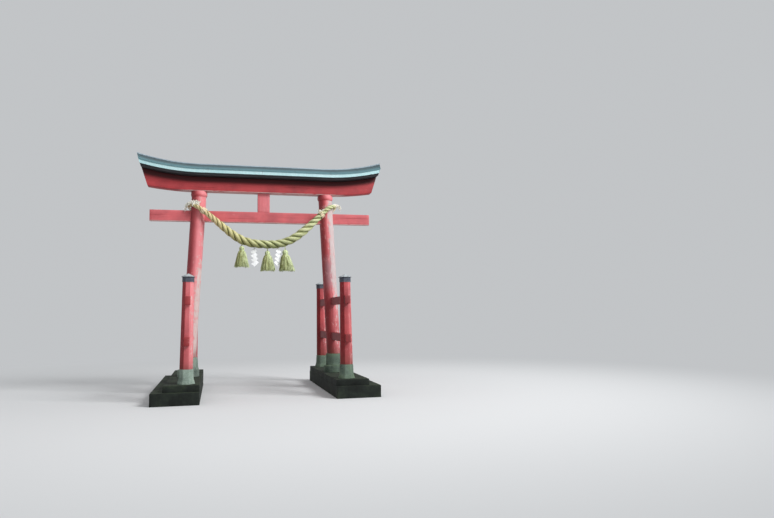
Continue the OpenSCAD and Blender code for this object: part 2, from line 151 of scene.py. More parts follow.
class Bench:
    """Lays out the nodes of one material, or of the sky."""

    def __init__(self, owner: bpy.types.Material | bpy.types.World) -> None:
        """Empties the owner's node tree."""
        owner.use_nodes = True
        self.tree = owner.node_tree
        self.tree.nodes.clear()

    def node(
        self,
        kind: str,
        settings: dict[str, Any] | None = None,
        sockets: dict[int | str, Any] | None = None,
        take: int | str = 0,
    ) -> Wire:
        """Adds a node.

        Args:
            kind: The node's type.
            settings: Its properties, with a ramp's stops as pairs of place and colour.
            sockets: Its inputs by index or name, as wires, numbers or colours.
            take: The output to carry on with.

        Returns:
            That output.
        """
        made = self.tree.nodes.new(kind)
        for key, value in (settings or {}).items():
            if key == "stops":
                ramp = made.color_ramp.elements
                while len(ramp) < len(value):
                    ramp.new(0.5)
                for stop, (place, colour) in zip(ramp, value):
                    stop.position = place
                    stop.color = (*colour, 1)
            else:
                setattr(made, key, value)
        for key, value in (sockets or {}).items():
            if isinstance(value, Wire):
                self.tree.links.new(value.socket, made.inputs[key])
            else:
                made.inputs[key].default_value = (*value, 1) if made.inputs[key].type == "RGBA" else value
        return Wire(self, made.outputs[take])

    def place(self, stretch: Place = (1, 1, 1), shift: Place = (0, 0, 0)) -> Wire:
        """Gives the object coordinates, stretched and moved."""
        spot = self.node("ShaderNodeTexCoord", take="Object")
        return self.node("ShaderNodeMapping", None, {"Vector": spot, "Location": shift, "Scale": stretch})

    def along(self, axis: int) -> Wire:
        """Gives one of the object coordinates by its index."""
        spot = self.node("ShaderNodeTexCoord", take="Object")
        return self.node("ShaderNodeSeparateXYZ", None, {0: spot}, take=axis)

    def facing(self, way: Place) -> Wire:
        """Gives how far the surface faces a way, from -1 to 1."""
        sockets = {0: self.node("ShaderNodeTexCoord", take="Normal"), 1: way}
        return self.node("ShaderNodeVectorMath", {"operation": "DOT_PRODUCT"}, sockets, take="Value")

    def cloud(self, spot: Wire, scale: float, detail: float, rough: float, bend: float = 0) -> Wire:
        """Gives soft noise from 0 to 1."""
        sockets = {"Vector": spot, "Scale": scale, "Detail": detail, "Roughness": rough, "Distortion": bend}
        return self.node("ShaderNodeTexNoise", None, sockets)

    def blend(self, under: Wire | Colour, over: Wire | Colour, amount: Wire) -> Wire:
        """Lays one colour over another by an amount from 0 to 1."""
        return self.node("ShaderNodeMix", {"data_type": "RGBA"}, {0: amount, 6: under, 7: over}, take=2)

    def relief(self, height: Wire, distance: float, strength: float) -> Wire:
        """Turns a height from 0 to 1 into a normal, for a relief of that distance in metres."""
        sockets = {"Height": height, "Distance": distance, "Strength": strength}
        return self.node("ShaderNodeBump", None, sockets)

    def seen(self, *rays: str) -> Wire:
        """Gives 1 to rays of the named kinds and 0 to all others.

        Args:
            rays: The kinds.

        Returns:
            The 1 or 0.
        """
        first, *others = (self.node("ShaderNodeLightPath", take=f"Is {ray} Ray") for ray in rays)
        for other in others:
            first = first.peak(other)
        return first

    def close(self, colour: Wire, roughness: Wire, normal: Wire, specular: float) -> None:
        """Ends the material in a Principled shader.

        Args:
            colour: The base colour.
            roughness: The roughness.
            normal: The bumped normal.
            specular: The specular level.
        """
        sockets = {"Base Color": colour, "Roughness": roughness, "Normal": normal}
        sockets["Specular IOR Level"] = specular
        self.end(self.node("ShaderNodeBsdfPrincipled", None, sockets))

    def end(self, shader: Wire, kind: str = "Material") -> None:
        """Joins a shader to the output of a material or of the world."""
        output = self.tree.nodes.new(f"ShaderNodeOutput{kind}")
        self.tree.links.new(shader.socket, output.inputs[0])


# Finishes

# Ways that surfaces face: sunlight and the key lamp, rain and the key lamp, the side in painted shade, the front,
# the sky and the ground
SUN_AND_LAMP_WAY: Place = (0.68, -0.54, 0.5)
RAIN_AND_LAMP_WAY: Place = (0.9, -0.36, 0.25)
SHADED_SIDE_WAY: Place = (-0.93, -0.3, -0.2)
FRONT_WAY: Place = (0.45, -0.89, 0)
SKY_WAY: Place = (0.25, -0.1, 0.96)
UNDER_WAY: Place = (-0.35, -0.1, -0.93)


class Finish(ABC):
    """A finish that becomes a procedural material."""

    @abstractmethod
    def lay(self, bench: Bench) -> None:
        """Lays out the finish's nodes."""

    def material(self, name: str) -> bpy.types.Material:
        """Builds the finish's material.

        Args:
            name: Its name.

        Returns:
            The material.
        """
        made = bpy.data.materials.new(name)
        self.lay(Bench(made))
        return made


class Grain(Enum):
    """The axis that a timber's fibres run along, as the stretch of its pattern."""

    X = (0.7, 16.0, 16.0)
    Y = (16.0, 0.7, 16.0)
    Z = (16.0, 16.0, 0.7)


@dataclass(frozen=True)
class Vermilion(Finish):
    """Old vermilion paint on timber, faded and flaking where sunlight and rain reach it, most of all on the side
    towards the key lamp, where that is partly painted light.

    A z is a height in metres. The three values that give the painted shade low down are the height at which its
    darker, less faded red starts, the height at which it is full, and how much of it there is then.
    """

    grain: Grain
    fade: float = 0.5
    flake: float = 0.3
    even_fade: float = 0.2
    splash_z: float | None = None
    pale_edge_z: float | None = None
    eave_shadow_sweep: "Sweep | None" = None
    sound_below: float | None = None
    sound_above: float | None = None
    dull_z: float | None = None
    low_shade: Place = (1.9, 0.7, 0.4)
    fresh: Colour = tone(192, 44, 46)
    deep: Colour = tone(146, 26, 34)
    side_shade: Colour = tone(112, 20, 28)
    low_shade_tone: Colour = tone(120, 26, 26)
    faded: Colour = tone(236, 148, 154)
    dulled: Colour = tone(158, 132, 138)
    grime: Colour = tone(66, 30, 30)
    thin: Colour = tone(222, 160, 158)
    bare: Colour = tone(228, 216, 214)
    bare_grey: Colour = tone(172, 150, 144)
    eave_shadow: Colour = tone(46, 9, 11)
    splash: Colour = tone(96, 58, 46)

    def lay(self, bench: Bench) -> None:
        """Lays the coat with its weather and painted light, then what is bare, the painted shadow under the eave,
        and what is splashed.

        Args:
            bench: Where they are laid out.
        """
        fibres = bench.place(self.grain.value)
        broad = bench.cloud(bench.place(), 2.1, 4, 0.6)
        streaks = bench.cloud(fibres, 1.6, 5, 0.65)
        fine = bench.cloud(fibres, 9.0, 3, 0.6)
        colour = self.coat(bench, broad, streaks, fine)

        patches = bench.cloud(bench.place(shift=(3.1, 1.7, 0.4)), 10.0, 7, 0.78)
        chip_stretch = tuple(math.sqrt(part) for part in self.grain.value)
        chips = bench.cloud(bench.place(chip_stretch, (0.3, 0.9, 1.3)), 8.5, 8, 0.84)
        weathered_lit = self.weathered_lit(bench, broad)
        ragged = patches * 0.42 + chips * 0.58 + weathered_lit * 0.12 * self.flake
        bared = ragged.between(0.652, 0.672)
        colour = bench.blend(colour, self.thin, ragged.between(0.59, 0.655) * 0.5)
        if self.pale_edge_z is not None:
            # A pale line along the arris at this height.
            edge = abs(bench.along(2) - self.pale_edge_z).between(0.016, 0.003)
            bared = bared.peak(edge * chips.between(0.4, 0.5) * 0.8)
        if self.grain is Grain.X:
            cut_end = abs(bench.facing((1, 0, 0))).between(0.85, 0.97)
            bared = bared.peak(cut_end * (patches * 0.4 + chips * 0.6).between(0.36, 0.68) * 0.4)
        pale = bench.blend(self.bare, self.bare_grey, fine)
        colour = bench.blend(colour, pale, bared * 0.9)

        rough = 0.5 + bared * 0.32 + fine * 0.12
        if self.eave_shadow_sweep:
            # A dark band along the top of the lintel, under the roof: painted eave shadow.
            over = (abs(bench.along(0)) - self.eave_shadow_sweep.start).peak(0.0)
            level = bench.along(2) - over * over / (2 * self.eave_shadow_sweep.radius) + broad * 0.05
            dark = level.between(self.eave_shadow_sweep.base_z - 0.115, self.eave_shadow_sweep.base_z - 0.035)
            colour = bench.blend(colour, self.eave_shadow, dark * 0.92)
        if self.splash_z is not None:
            wet = (bench.along(2) + broad * 0.3).between(self.splash_z + 0.42, self.splash_z + 0.06)
            colour = bench.blend(colour, self.splash, wet * 0.55)
            rough = rough + wet * 0.1
        height = (1 - bared) * 0.55 + streaks * 0.3 + fine * 0.15
        bench.close(colour, rough, bench.relief(height, 0.0016, 0.9), 0.35)

    def coat(self, bench: Bench, broad: Wire, streaks: Wire, fine: Wire) -> Wire:
        """Mixes the colour of the paint where it still lies, with painted shade on the side away from the lamps and
        towards the bottom.

        Args:
            bench: Where its nodes are laid out.
            broad: The noise of wide patches.
            streaks: The noise along the fibres.
            fine: The narrower noise along the fibres.

        Returns:
            The colour.
        """
        # Fading is heaviest on the side facing sunlight and the key lamp: real bleaching, partly painted light.
        bleach_and_light = bench.facing(SUN_AND_LAMP_WAY).between(0.12, 0.95)
        # Darker, deeper and less faded red towards the bottom: painted shade.
        starts, full, most = self.low_shade
        low = bench.along(2).between(starts, full) * most
        weather = (bleach_and_light * (0.45 + broad) + self.even_fade * (0.4 + broad * 1.2)) * (1 - low * 0.88)
        # A darker red on the side facing away from the lamps: painted shade.
        side_shade = bench.facing(SHADED_SIDE_WAY).between(0.1, 0.95)
        colour = bench.blend(self.deep, self.fresh, broad.between(0.3, 0.62))
        colour = bench.blend(colour, self.side_shade, side_shade * (0.35 + broad * 0.6))
        colour = bench.blend(colour, self.low_shade_tone, low)
        colour = bench.blend(colour, self.faded, (weather * (0.5 + streaks * 0.9) * self.fade).dip(0.72))
        if self.dull_z is not None:
            dull = abs(bench.along(2) - self.dull_z + broad * 0.4 - 0.2).between(0.42, 0.12)
            front = bench.facing(FRONT_WAY).between(-0.1, 0.8)
            colour = bench.blend(colour, self.dulled, dull * front * (0.25 + streaks * 0.8))
        return bench.blend(colour, self.grime, fine.between(0.62, 0.8) * 0.22)

    def weathered_lit(self, bench: Bench, broad: Wire) -> Wire:
        """Gives how far rain and sunlight have got at the paint, from about 0 to 1.5; it is highest on the side
        towards the key lamp, where the pale flakes are partly a painted highlight.

        Args:
            bench: Where the nodes are laid out.
            broad: The noise of wide patches.

        Returns:
            How far.
        """
        # Flakes gather on the side facing the rain and the key lamp: real weathering, partly a painted highlight.
        weathered_lit = 0.25 + bench.facing(RAIN_AND_LAMP_WAY).between(0.1, 0.95) * 0.95 + broad * 0.25
        if self.sound_below is not None:
            up = bench.along(2).between(self.sound_below - 0.7, self.sound_below + 0.5)
            weathered_lit = weathered_lit * (0.5 + up * 0.5)
        if self.sound_above is not None:
            down = bench.along(2).between(self.sound_above + 0.3, self.sound_above - 0.3)
            weathered_lit = weathered_lit * (0.58 + down * 0.6)
        return weathered_lit


@dataclass(frozen=True)
class Masonry(Finish):
    """Weathered concrete or stone with stains, pores and a little moss."""

    light: Colour
    dark: Colour
    moss: Colour = tone(74, 92, 52)
    moss_amount: float = 0.3
    pores: float = 0.4

    def lay(self, bench: Bench) -> None:
        """Lays the mottled face, the stains that run down it, the moss and the pores.

        Args:
            bench: Where they are laid out.
        """
        plain = bench.place()
        broad = bench.cloud(plain, 3.4, 6, 0.62)
        speck = bench.cloud(plain, 60, 4, 0.7)
        runs = bench.cloud(bench.place((9, 9, 0.9)), 1.7, 5, 0.6)
        colour = bench.blend(self.dark, self.light, (broad * 0.75 + speck * 0.35).between(0.3, 0.78))
        colour = bench.blend(colour, self.dark, runs.between(0.52, 0.75) * 0.6)
        up = bench.facing((0, 0, 1)).between(-0.1, 0.9)
        green = (broad * 0.7 + bench.cloud(plain, 14, 5, 0.7) * 0.45 + up * 0.12).between(0.55, 0.78)
        colour = bench.blend(colour, self.moss, green * self.moss_amount)
        cells = bench.node("ShaderNodeTexVoronoi", None, {"Vector": plain, "Scale": 85}, "Distance")
        height = speck * 0.5 + broad * 0.25 + cells.between(0.0, 0.34) * self.pores
        bench.close(colour, 0.82 + speck * 0.12, bench.relief(height, 0.003, 0.8), 0.3)


@dataclass(frozen=True)
class Sheet(Finish):
    """Painted sheet metal that has weathered outdoors."""

    face: Colour
    chalk: Colour
    stain: Colour
    chalky: float = 0.5
    run_stretch: Place = (14, 1.5, 1.5)
    bleached_sky_top: float = 0.0
    pale_eave: float = 0.0
    bleached_sky: Colour = tone(190, 198, 200)

    def lay(self, bench: Bench) -> None:
        """Lays the paint, its chalking, its stains and the dents of the sheet.

        Args:
            bench: Where they are laid out.
        """
        plain = bench.place()
        broad = bench.cloud(plain, 1.3, 5, 0.6)
        runs = bench.cloud(bench.place(self.run_stretch), 2.2, 5, 0.62)
        speck = bench.cloud(plain, 46, 4, 0.7)
        chalked = (broad * 0.6 + runs * 0.6).between(0.42, 0.8)
        colour = bench.blend(self.face, self.chalk, chalked * self.chalky)
        if self.pale_eave:
            down = abs(bench.along(1)) + broad * 0.08
            colour = bench.blend(colour, self.chalk, down.between(0.13, 0.36) * self.pale_eave)
        # Paler on top: sun bleaching, partly a painted reflection of the sky.
        if self.bleached_sky_top:
            top = bench.facing(SKY_WAY).between(0.45, 0.95)
            colour = bench.blend(colour, self.bleached_sky, top * (0.5 + runs * 0.7) * self.bleached_sky_top)
        colour = bench.blend(colour, self.stain, (runs * 0.7 + speck * 0.4).between(0.58, 0.74) * 0.5)
        colour = bench.blend(colour, self.stain, speck.between(0.66, 0.74) * 0.4)
        height = bench.cloud(plain, 5.0, 2, 0.5) * 0.7 + speck * 0.1
        bench.close(colour, 0.42 + runs * 0.18 + speck * 0.1, bench.relief(height, 0.004, 0.6), 0.5)


@dataclass(frozen=True)
class Board(Finish):
    """Unpainted or long-faded boards along X, dark with weather."""

    light: Colour
    dark: Colour

    def lay(self, bench: Bench) -> None:
        """Lays the fibres and the wide patches.

        Args:
            bench: Where they are laid out.
        """
        fibres = bench.place(Grain.X.value)
        broad = bench.cloud(bench.place(), 2.4, 5, 0.6)
        lines = bench.cloud(fibres, 3.0, 6, 0.7)
        colour = bench.blend(self.dark, self.light, (lines * 0.7 + broad * 0.5).between(0.35, 0.85))
        bench.close(colour, 0.7 + lines * 0.2, bench.relief(lines, 0.002, 0.8), 0.3)


@dataclass(frozen=True)
class Straw(Finish):
    """Dry rice straw, from pale stalks to olive shade between them."""

    pale: Colour
    tan: Colour
    olive: Colour
    laid: bool = False
    hem: bool = False
    # The hem tone is painted shade at the foot of a tassel.
    hem_shade: Colour = tone(128, 122, 52)
    sunned: Colour = tone(204, 178, 112)
    sunned_end: Colour = tone(228, 198, 160)
    # The groove tone is painted shade between a rope's strands.
    groove: Colour = tone(54, 62, 22)

    def lay(self, bench: Bench) -> None:
        """Lays the stalks; on laid rope, a painted highlight on the strands' crests and painted shade in their
        grooves and on their undersides; on a tassel, the locks and painted shade at the hem.

        Args:
            bench: Where they are laid out.
        """
        broad = bench.cloud(bench.place(), 9, 4, 0.6)
        spread = bench.node("ShaderNodeUVMap")
        if self.laid:
            stalks = bench.node("ShaderNodeMapping", None, {"Vector": spread, "Scale": (46.0, 30.0, 1.0)})
            single = bench.cloud(stalks, 1.6, 3, 0.6, 0.2)
        else:
            single = bench.cloud(bench.place((220.0, 220.0, 30.0)), 1.0, 3, 0.6)
        stops = ((0.3, self.olive), (0.47, self.tan), (0.66, self.pale))
        colour = bench.node("ShaderNodeValToRGB", {"stops": stops}, {0: single * 0.72 + broad * 0.3})
        if self.laid:
            depth = bench.node("ShaderNodeAttribute", {"attribute_name": "outwards"}, None, "Fac")
            aside = abs(bench.along(0)).between(0.3, 0.9)
            # Paler crests where the strands stand out: a painted highlight.
            colour = bench.blend(colour, self.pale, depth.between(0.92, 1.0) * (0.5 + aside * 0.45))
            # Olive on the strands' undersides: painted shade.
            under_shade = bench.facing(UNDER_WAY).between(-0.45, 0.6)
            colour = bench.blend(colour, self.olive, under_shade * (0.7 - aside * 0.4))
            left = bench.along(0).between(0.2, -0.9)
            colour = bench.blend(colour, self.sunned, left * (0.2 + broad * 0.5))
            colour = bench.blend(colour, self.sunned_end, bench.along(0).between(-0.65, -1.0) * 0.5)
            # Dark olive in the grooves between the strands: painted shade.
            colour = bench.blend(colour, self.groove, depth.between(0.93, 0.75) * (0.9 - aside * 0.1))
        if self.hem:
            lock = bench.cloud(bench.place((52, 52, 4.5)), 1.0, 2, 0.5)
            colour = bench.blend(colour, self.pale, lock.between(0.46, 0.58) * 0.85)
            colour = bench.blend(colour, self.olive, lock.between(0.46, 0.34) * 0.8)
            # Darker towards the hem: painted shade.
            down = bench.node("ShaderNodeSeparateXYZ", None, {0: spread}, take=1)
            colour = bench.blend(colour, self.hem_shade, (down + broad * 0.14).between(0.82, 1.02) * 0.85)
        bench.close(colour, 0.62 + single * 0.2, bench.relief(single, 0.0012, 0.8), 0.35)


@dataclass(frozen=True)
class Paper(Finish):
    """White folded paper, a little soft from the weather."""

    face: Colour = tone(250, 251, 252)
    soft: Colour = tone(232, 236, 240)

    def lay(self, bench: Bench) -> None:
        """Lays the soft patches and the fibre.

        Args:
            bench: Where they are laid out.
        """
        plain = bench.place()
        broad = bench.cloud(plain, 16, 4, 0.6)
        fibre = bench.cloud(plain, 240, 3, 0.7)
        colour = bench.blend(self.face, self.soft, broad.between(0.4, 0.75) * 0.6)
        bench.close(colour, 0.8 + fibre * 0.1, bench.relief(fibre + broad, 0.0006, 0.5), 0.3)


# Shaping, with how near a plane a point counts as on it, and how near two points count as one

ON_PLANE = 1e-6
TOUCHING = 1e-5


@dataclass(frozen=True)
class Sweep:
    """The upward sweep of the lintels towards their slanted ends."""

    start: float = 1.150
    base_z: float = 3.955
    radius: float = 4.300
    end_x: float = 2.054
    end_z: float = 3.692
    slant: float = math.radians(18)

    def lift(self, x: float, radius: float) -> float:
        """Gives the rise of a curve of that radius at a distance from the middle."""
        over = abs(x) - self.start
        return 0.0 if over <= 0 else radius - math.sqrt(radius * radius - over * over)

    def bend(self, spot: Vector) -> None:
        """Moves a point of a straight bar to its place on the swept one.

        Args:
            spot: The point.
        """
        over = abs(spot.x) - self.start
        if over <= 0:
            return
        turn = over / self.radius
        height = spot.z - self.base_z
        spot.x = math.copysign(self.start + (self.radius - height) * math.sin(turn), spot.x)
        spot.z = self.base_z + self.radius - (self.radius - height) * math.cos(turn)

    def end_way(self, side: int) -> Vector:
        """Gives the way that one slanted end looks."""
        return Vector((side * math.cos(self.slant), 0, -math.sin(self.slant)))


def linked(name: str, data: bpy.types.ID) -> bpy.types.Object:
    """Sets a new object with that data in the scene.

    Args:
        name: Its name.
        data: Its mesh, lamp or camera.

    Returns:
        The object.
    """
    made = bpy.data.objects.new(name, data)
    bpy.context.scene.collection.objects.link(made)
    return made


class Shape:
    """A mesh in the making."""

    def __init__(self, seed: int = 0) -> None:
        """Starts empty, with a seed for what is uneven on it."""
        self.bm = bmesh.new()
        self.seed = seed

    def everything(self) -> list[Any]:
        """Lists all vertices, edges and faces."""
        return [*self.bm.verts, *self.bm.edges, *self.bm.faces]

    def move(self, matrix: Matrix) -> None:
        """Moves and turns all of it."""
        bmesh.ops.transform(self.bm, matrix=matrix, verts=self.bm.verts[:])

    def shift(self, way: Place) -> None:
        """Moves all of it without a turn."""
        bmesh.ops.translate(self.bm, vec=way, verts=self.bm.verts[:])

    def look_out(self) -> None:
        """Turns all faces outwards."""
        bmesh.ops.recalc_face_normals(self.bm, faces=self.bm.faces[:])

    def block(self, low: Place, high: Place) -> list[bmesh.types.BMVert]:
        """Adds a box between two corners and returns its vertices.

        Args:
            low: The lowest corner.
            high: The highest corner.

        Returns:
            Its vertices.
        """
        made = bmesh.ops.create_cube(self.bm, size=1.0)["verts"]
        bmesh.ops.scale(self.bm, vec=Vector(high) - Vector(low), verts=made)
        bmesh.ops.translate(self.bm, vec=(Vector(low) + Vector(high)) / 2, verts=made)
        return made

    def shaft(self, sides: int, levels: Sequence[tuple[float, float]]) -> list[bmesh.types.BMVert]:
        """Adds an upright shaft of rings, closed at both ends.

        Args:
            sides: How many sides each ring has.
            levels: The radius and height of each ring, from the bottom.

        Returns:
            All its vertices, ring after ring.
        """
        radius, z = levels[0]
        ring = bmesh.ops.create_circle(self.bm, segments=sides, radius=radius, cap_ends=False)["verts"]
        turn = Matrix.Rotation(math.pi / sides, 3, "Z")
        bmesh.ops.transform(self.bm, matrix=turn.to_4x4(), verts=ring)
        bmesh.ops.translate(self.bm, vec=(0, 0, z), verts=ring)
        every = list(ring)
        edges = list({e for v in ring for e in v.link_edges})
        first = edges
        for next_radius, next_z in levels[1:]:
            made = bmesh.ops.extrude_edge_only(self.bm, edges=edges)["geom"]
            ring = [g for g in made if isinstance(g, bmesh.types.BMVert)]
            edges = [g for g in made if isinstance(g, bmesh.types.BMEdge) and all(v in ring for v in g.verts)]
            bmesh.ops.scale(self.bm, vec=(next_radius / radius, next_radius / radius, 1), verts=ring)
            bmesh.ops.translate(self.bm, vec=(0, 0, next_z - z), verts=ring)
            radius, z = next_radius, next_z
            every += ring
        for rim in (first, edges):
            bmesh.ops.holes_fill(self.bm, edges=rim, sides=0)
        self.look_out()
        return every

    def turned(self, outline: Sequence[tuple[float, float]], steps: int) -> None:
        """Fills the shape by turning an outline of radius and height, from axis to axis, round Z.

        Args:
            outline: The outline's points.
            steps: How many steps a full turn has.
        """
        points = [self.bm.verts.new((r, 0, z)) for r, z in outline]
        edges = [self.bm.edges.new(pair) for pair in zip(points, points[1:])]
        bmesh.ops.spin(
            self.bm, geom=[*points, *edges], axis=(0, 0, 1), cent=(0, 0, 0), steps=steps, angle=math.tau,
            use_merge=True, use_duplicate=False,
        )
        bmesh.ops.remove_doubles(self.bm, verts=self.bm.verts[:], dist=TOUCHING)
        self.look_out()

    def bar(self, section: Sequence[tuple[float, float]], half_l: float) -> None:
        """Adds a bar along X from a section drawn in Y and Z.

        Args:
            section: The points of the section.
            half_l: Half the bar's length.
        """
        face = self.bm.faces.new([self.bm.verts.new((-half_l, y, z)) for y, z in section])
        made = bmesh.ops.extrude_face_region(self.bm, geom=[face])["geom"]
        far = [g for g in made if isinstance(g, bmesh.types.BMVert)]
        bmesh.ops.translate(self.bm, vec=(2 * half_l, 0, 0), verts=far)
        self.look_out()

    def rows(self, axis: int, low: float, high: float, pitch: float) -> None:
        """Cuts evenly spaced rows between two places on an axis, so that what follows has points to move.

        Args:
            axis: The axis's index.
            low: The first place, which has no row itself.
            high: The last place, which has none either.
            pitch: How far apart the rows are, about.
        """
        way = Vector((0, 0, 0))
        way[axis] = 1
        count = max(1, round((high - low) / pitch))
        for i in range(1, count):
            spot = way * (low + (high - low) * i / count)
            geom = self.everything()
            bmesh.ops.bisect_plane(self.bm, geom=geom, plane_co=spot, plane_no=way, dist=ON_PLANE)

    def cut(self, point: Place | Vector, way: Place | Vector) -> None:
        """Takes off everything on the side of a plane that the way points to, and closes the cut.

        Args:
            point: A point of the plane.
            way: The way that the plane looks.
        """
        made = bmesh.ops.bisect_plane(
            self.bm, geom=self.everything(), plane_co=point, plane_no=way, dist=ON_PLANE, clear_outer=True
        )
        edges = [g for g in made["geom_cut"] if isinstance(g, bmesh.types.BMEdge)]
        bmesh.ops.holes_fill(self.bm, edges=edges, sides=0)

    def ease(
        self,
        width: float,
        segments: int = 2,
        sharper_than: float = 30,
        only: Callable[[bmesh.types.BMEdge], bool] | None = None,
    ) -> None:
        """Rounds the arrises.

        Args:
            width: How far each is rounded.
            segments: How many faces the rounding has.
            sharper_than: The least angle of an edge that counts, in degrees.
            only: A test that an edge has to pass.
        """
        self.bm.normal_update()
        edges = [
            e
            for e in self.bm.edges
            if len(e.link_faces) == 2
            and e.calc_face_angle(0) > math.radians(sharper_than)
            and (only is None or only(e))
        ]
        bmesh.ops.bevel(
            self.bm, geom=edges, offset=width, offset_type="OFFSET", segments=segments, profile=0.5,
            affect="EDGES", material=-1, clamp_overlap=True,
        )

    def wear(self, amount: float, scale: float, keep: Callable[[Vector], bool] | None = None) -> None:
        """Sinks the surface unevenly, and never raises it.

        Args:
            amount: The deepest that it sinks.
            scale: How close together the hollows lie.
            keep: A test for points that stay.
        """
        self.bm.normal_update()
        offset = Vector((self.seed * 7.31, self.seed * 3.17, self.seed * 1.93))
        for vert in self.bm.verts:
            if keep and keep(vert.co):
                continue
            value = noise.fractal(vert.co * scale + offset, 0.6, 2.1, 3)
            vert.co -= vert.normal * amount * min(1.0, max(0.0, 0.5 + 0.6 * value))

    def groove(self, start: Vector, end: Vector, out: Vector, depth: float, width: float = 0.003) -> None:
        """Opens a drying crack in a flat face.

        Args:
            start: One end of the crack, on the face.
            end: The other end.
            out: The way that the face looks.
            depth: The crack's depth.
            width: Its width.
        """
        run = end - start
        across = run.cross(out).normalized()
        self.bm.normal_update()
        near = [
            f
            for f in self.bm.faces
            if f.normal.dot(out) > 0.8 and abs((f.calc_center_median() - start).dot(out)) < 0.03
        ]
        for step in (-width / 2, 0.0, width / 2):
            geom = list({v for f in near for v in f.verts} | {e for f in near for e in f.edges}) + near
            spot = start + across * step
            made = bmesh.ops.bisect_plane(self.bm, geom=geom, plane_co=spot, plane_no=across, dist=ON_PLANE)
            faces = [g for g in made["geom"] if isinstance(g, bmesh.types.BMFace)]
            near = list(set(faces + [f for f in near if f.is_valid]))
        for vert in {v for f in near for v in f.verts}:
            share = (vert.co - start).dot(run) / run.length_squared
            off = abs((vert.co - start).dot(across))
            if 0 < share < 1 and off < width / 4:
                vert.co -= out * depth * math.sin(math.pi * share) ** 0.5

    def piece(self, name: str, material: bpy.types.Material, smooth: float = 35) -> bpy.types.Object:
        """Ends the shaping in an object.

        Args:
            name: The object's name.
            material: Its finish.
            smooth: The angle under which its faces are shaded as one, in degrees.

        Returns:
            The object, at the origin.
        """
        bmesh.ops.remove_doubles(self.bm, verts=self.bm.verts[:], dist=TOUCHING)
        self.look_out()
        mesh = bpy.data.meshes.new(name)
        self.bm.to_mesh(mesh)
        self.bm.free()
        mesh.materials.append(material)
        for polygon in mesh.polygons:
            polygon.use_smooth = True
        mesh.set_sharp_from_angle(angle=math.radians(smooth))
        return linked(name, mesh)

    def fit(
        self, name: str, material: bpy.types.Material, slot: str, *nodes: str, smooth: float = 35
    ) -> None:
        """Ends the shaping in a piece that is fitted to the gate, with the values of piece and fit."""
        fit(self.piece(name, material, smooth), slot, *nodes)


class Strands:
    """Many thin lines of straw or cord that become one mesh."""

    def __init__(self, name: str, thickness: float, facets: int = 0) -> None:
        """Starts a bundle.

        Args:
            name: The piece's name.
            thickness: The radius of a line of unit radius.
            facets: How finely each line is rounded.
        """
        self.name = name
        self.curve = bpy.data.curves.new(name, "CURVE")
        self.curve.dimensions = "3D"
        self.curve.use_fill_caps = True
        self.curve.twist_mode = "MINIMUM"
        self.curve.bevel_depth = thickness
        self.curve.bevel_resolution = facets

    def add(self, points: Sequence[Vector], radii: Sequence[float] | None = None) -> None:
        """Adds one line.

        Args:
            points: The points that it runs through.
            radii: Its radius at each, as a share of the thickness.
        """
        line = self.curve.splines.new("POLY")
        line.points.add(len(points) - 1)
        for point, spot, radius in zip(line.points, points, radii or [1.0] * len(points)):
            point.co = (*spot, 1)
            point.radius = radius
        line.use_smooth = True

    def piece(self, material: bpy.types.Material) -> bpy.types.Object:
        """Ends the bundle in one mesh object with that finish.

        Args:
            material: The finish.

        Returns:
            The object.
        """
        maker = linked(self.name + "_lines", self.curve)
        graph = bpy.context.evaluated_depsgraph_get()
        mesh = bpy.data.meshes.new_from_object(maker.evaluated_get(graph))
        bpy.data.objects.remove(maker)
        mesh.name = self.name
        mesh.materials.clear()
        mesh.materials.append(material)
        return linked(self.name, mesh)


def fit(piece: bpy.types.Object, slot: str, *nodes: str) -> bpy.types.Object:
    """Fits a finished piece to the gate and reports it.

    Args:
        piece: The piece.
        slot: The name of the record's material slot for its finish; not used.
        nodes: The nodes of the frame that it stands for.

    Returns:
        The piece.
    """
    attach(piece, "root")
    if nodes:
        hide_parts(*nodes)
    log.info("%s: %d faces, for %s", piece.name, len(piece.data.polygons), ", ".join(nodes) or "no node")
    return piece


def ahead_at(line: Sequence[Vector], i: int) -> Vector:
    """Gives the way that a line of points runs at one of them."""
    return (line[min(i + 1, len(line) - 1)] - line[max(i - 1, 0)]).normalized()


def level_way(turn: float) -> Vector:
    """Gives the level way at a turn round Z."""
    return Vector((math.cos(turn), math.sin(turn), 0))


def mirrored(side: int, near: float, far: float) -> tuple[float, float]:
    """Gives two distances from the middle, on that side of it, the lower first."""
    low, high = sorted((side * near, side * far))
    return low, high


# Setting out

SIDES = (("left", -1), ("right", 1))
ENDS = (("front", -1), ("rear", 1))


@dataclass(frozen=True)
class Gate:
    """Lines that the gate is set out from, in metres; bar_half is that of bars before they are cut."""

    plinth_top: float = 0.310
    half_span: float = 1.350
    lean: float = math.radians(3)
    post_lean: float = math.radians(0.6)
    post_in: float = 0.038
    base_top: float = 0.545
    post_reach: float = 1.355
    bar_half: float = 2.4
    sweep: Sweep = field(default_factory=Sweep)

    def pillar_x(self, z: float) -> float:
        """Gives the distance of a main pillar's axis from the middle at a height."""
        return self.half_span - math.tan(self.lean) * (z - self.plinth_top)

    def post_x(self, z: float) -> float:
        """Gives the distance of a support post's axis from the middle at a height."""
        return self.half_span - self.post_in - math.tan(self.post_lean) * (z - self.base_top)


GATE = Gate()


# Sub-assemblies


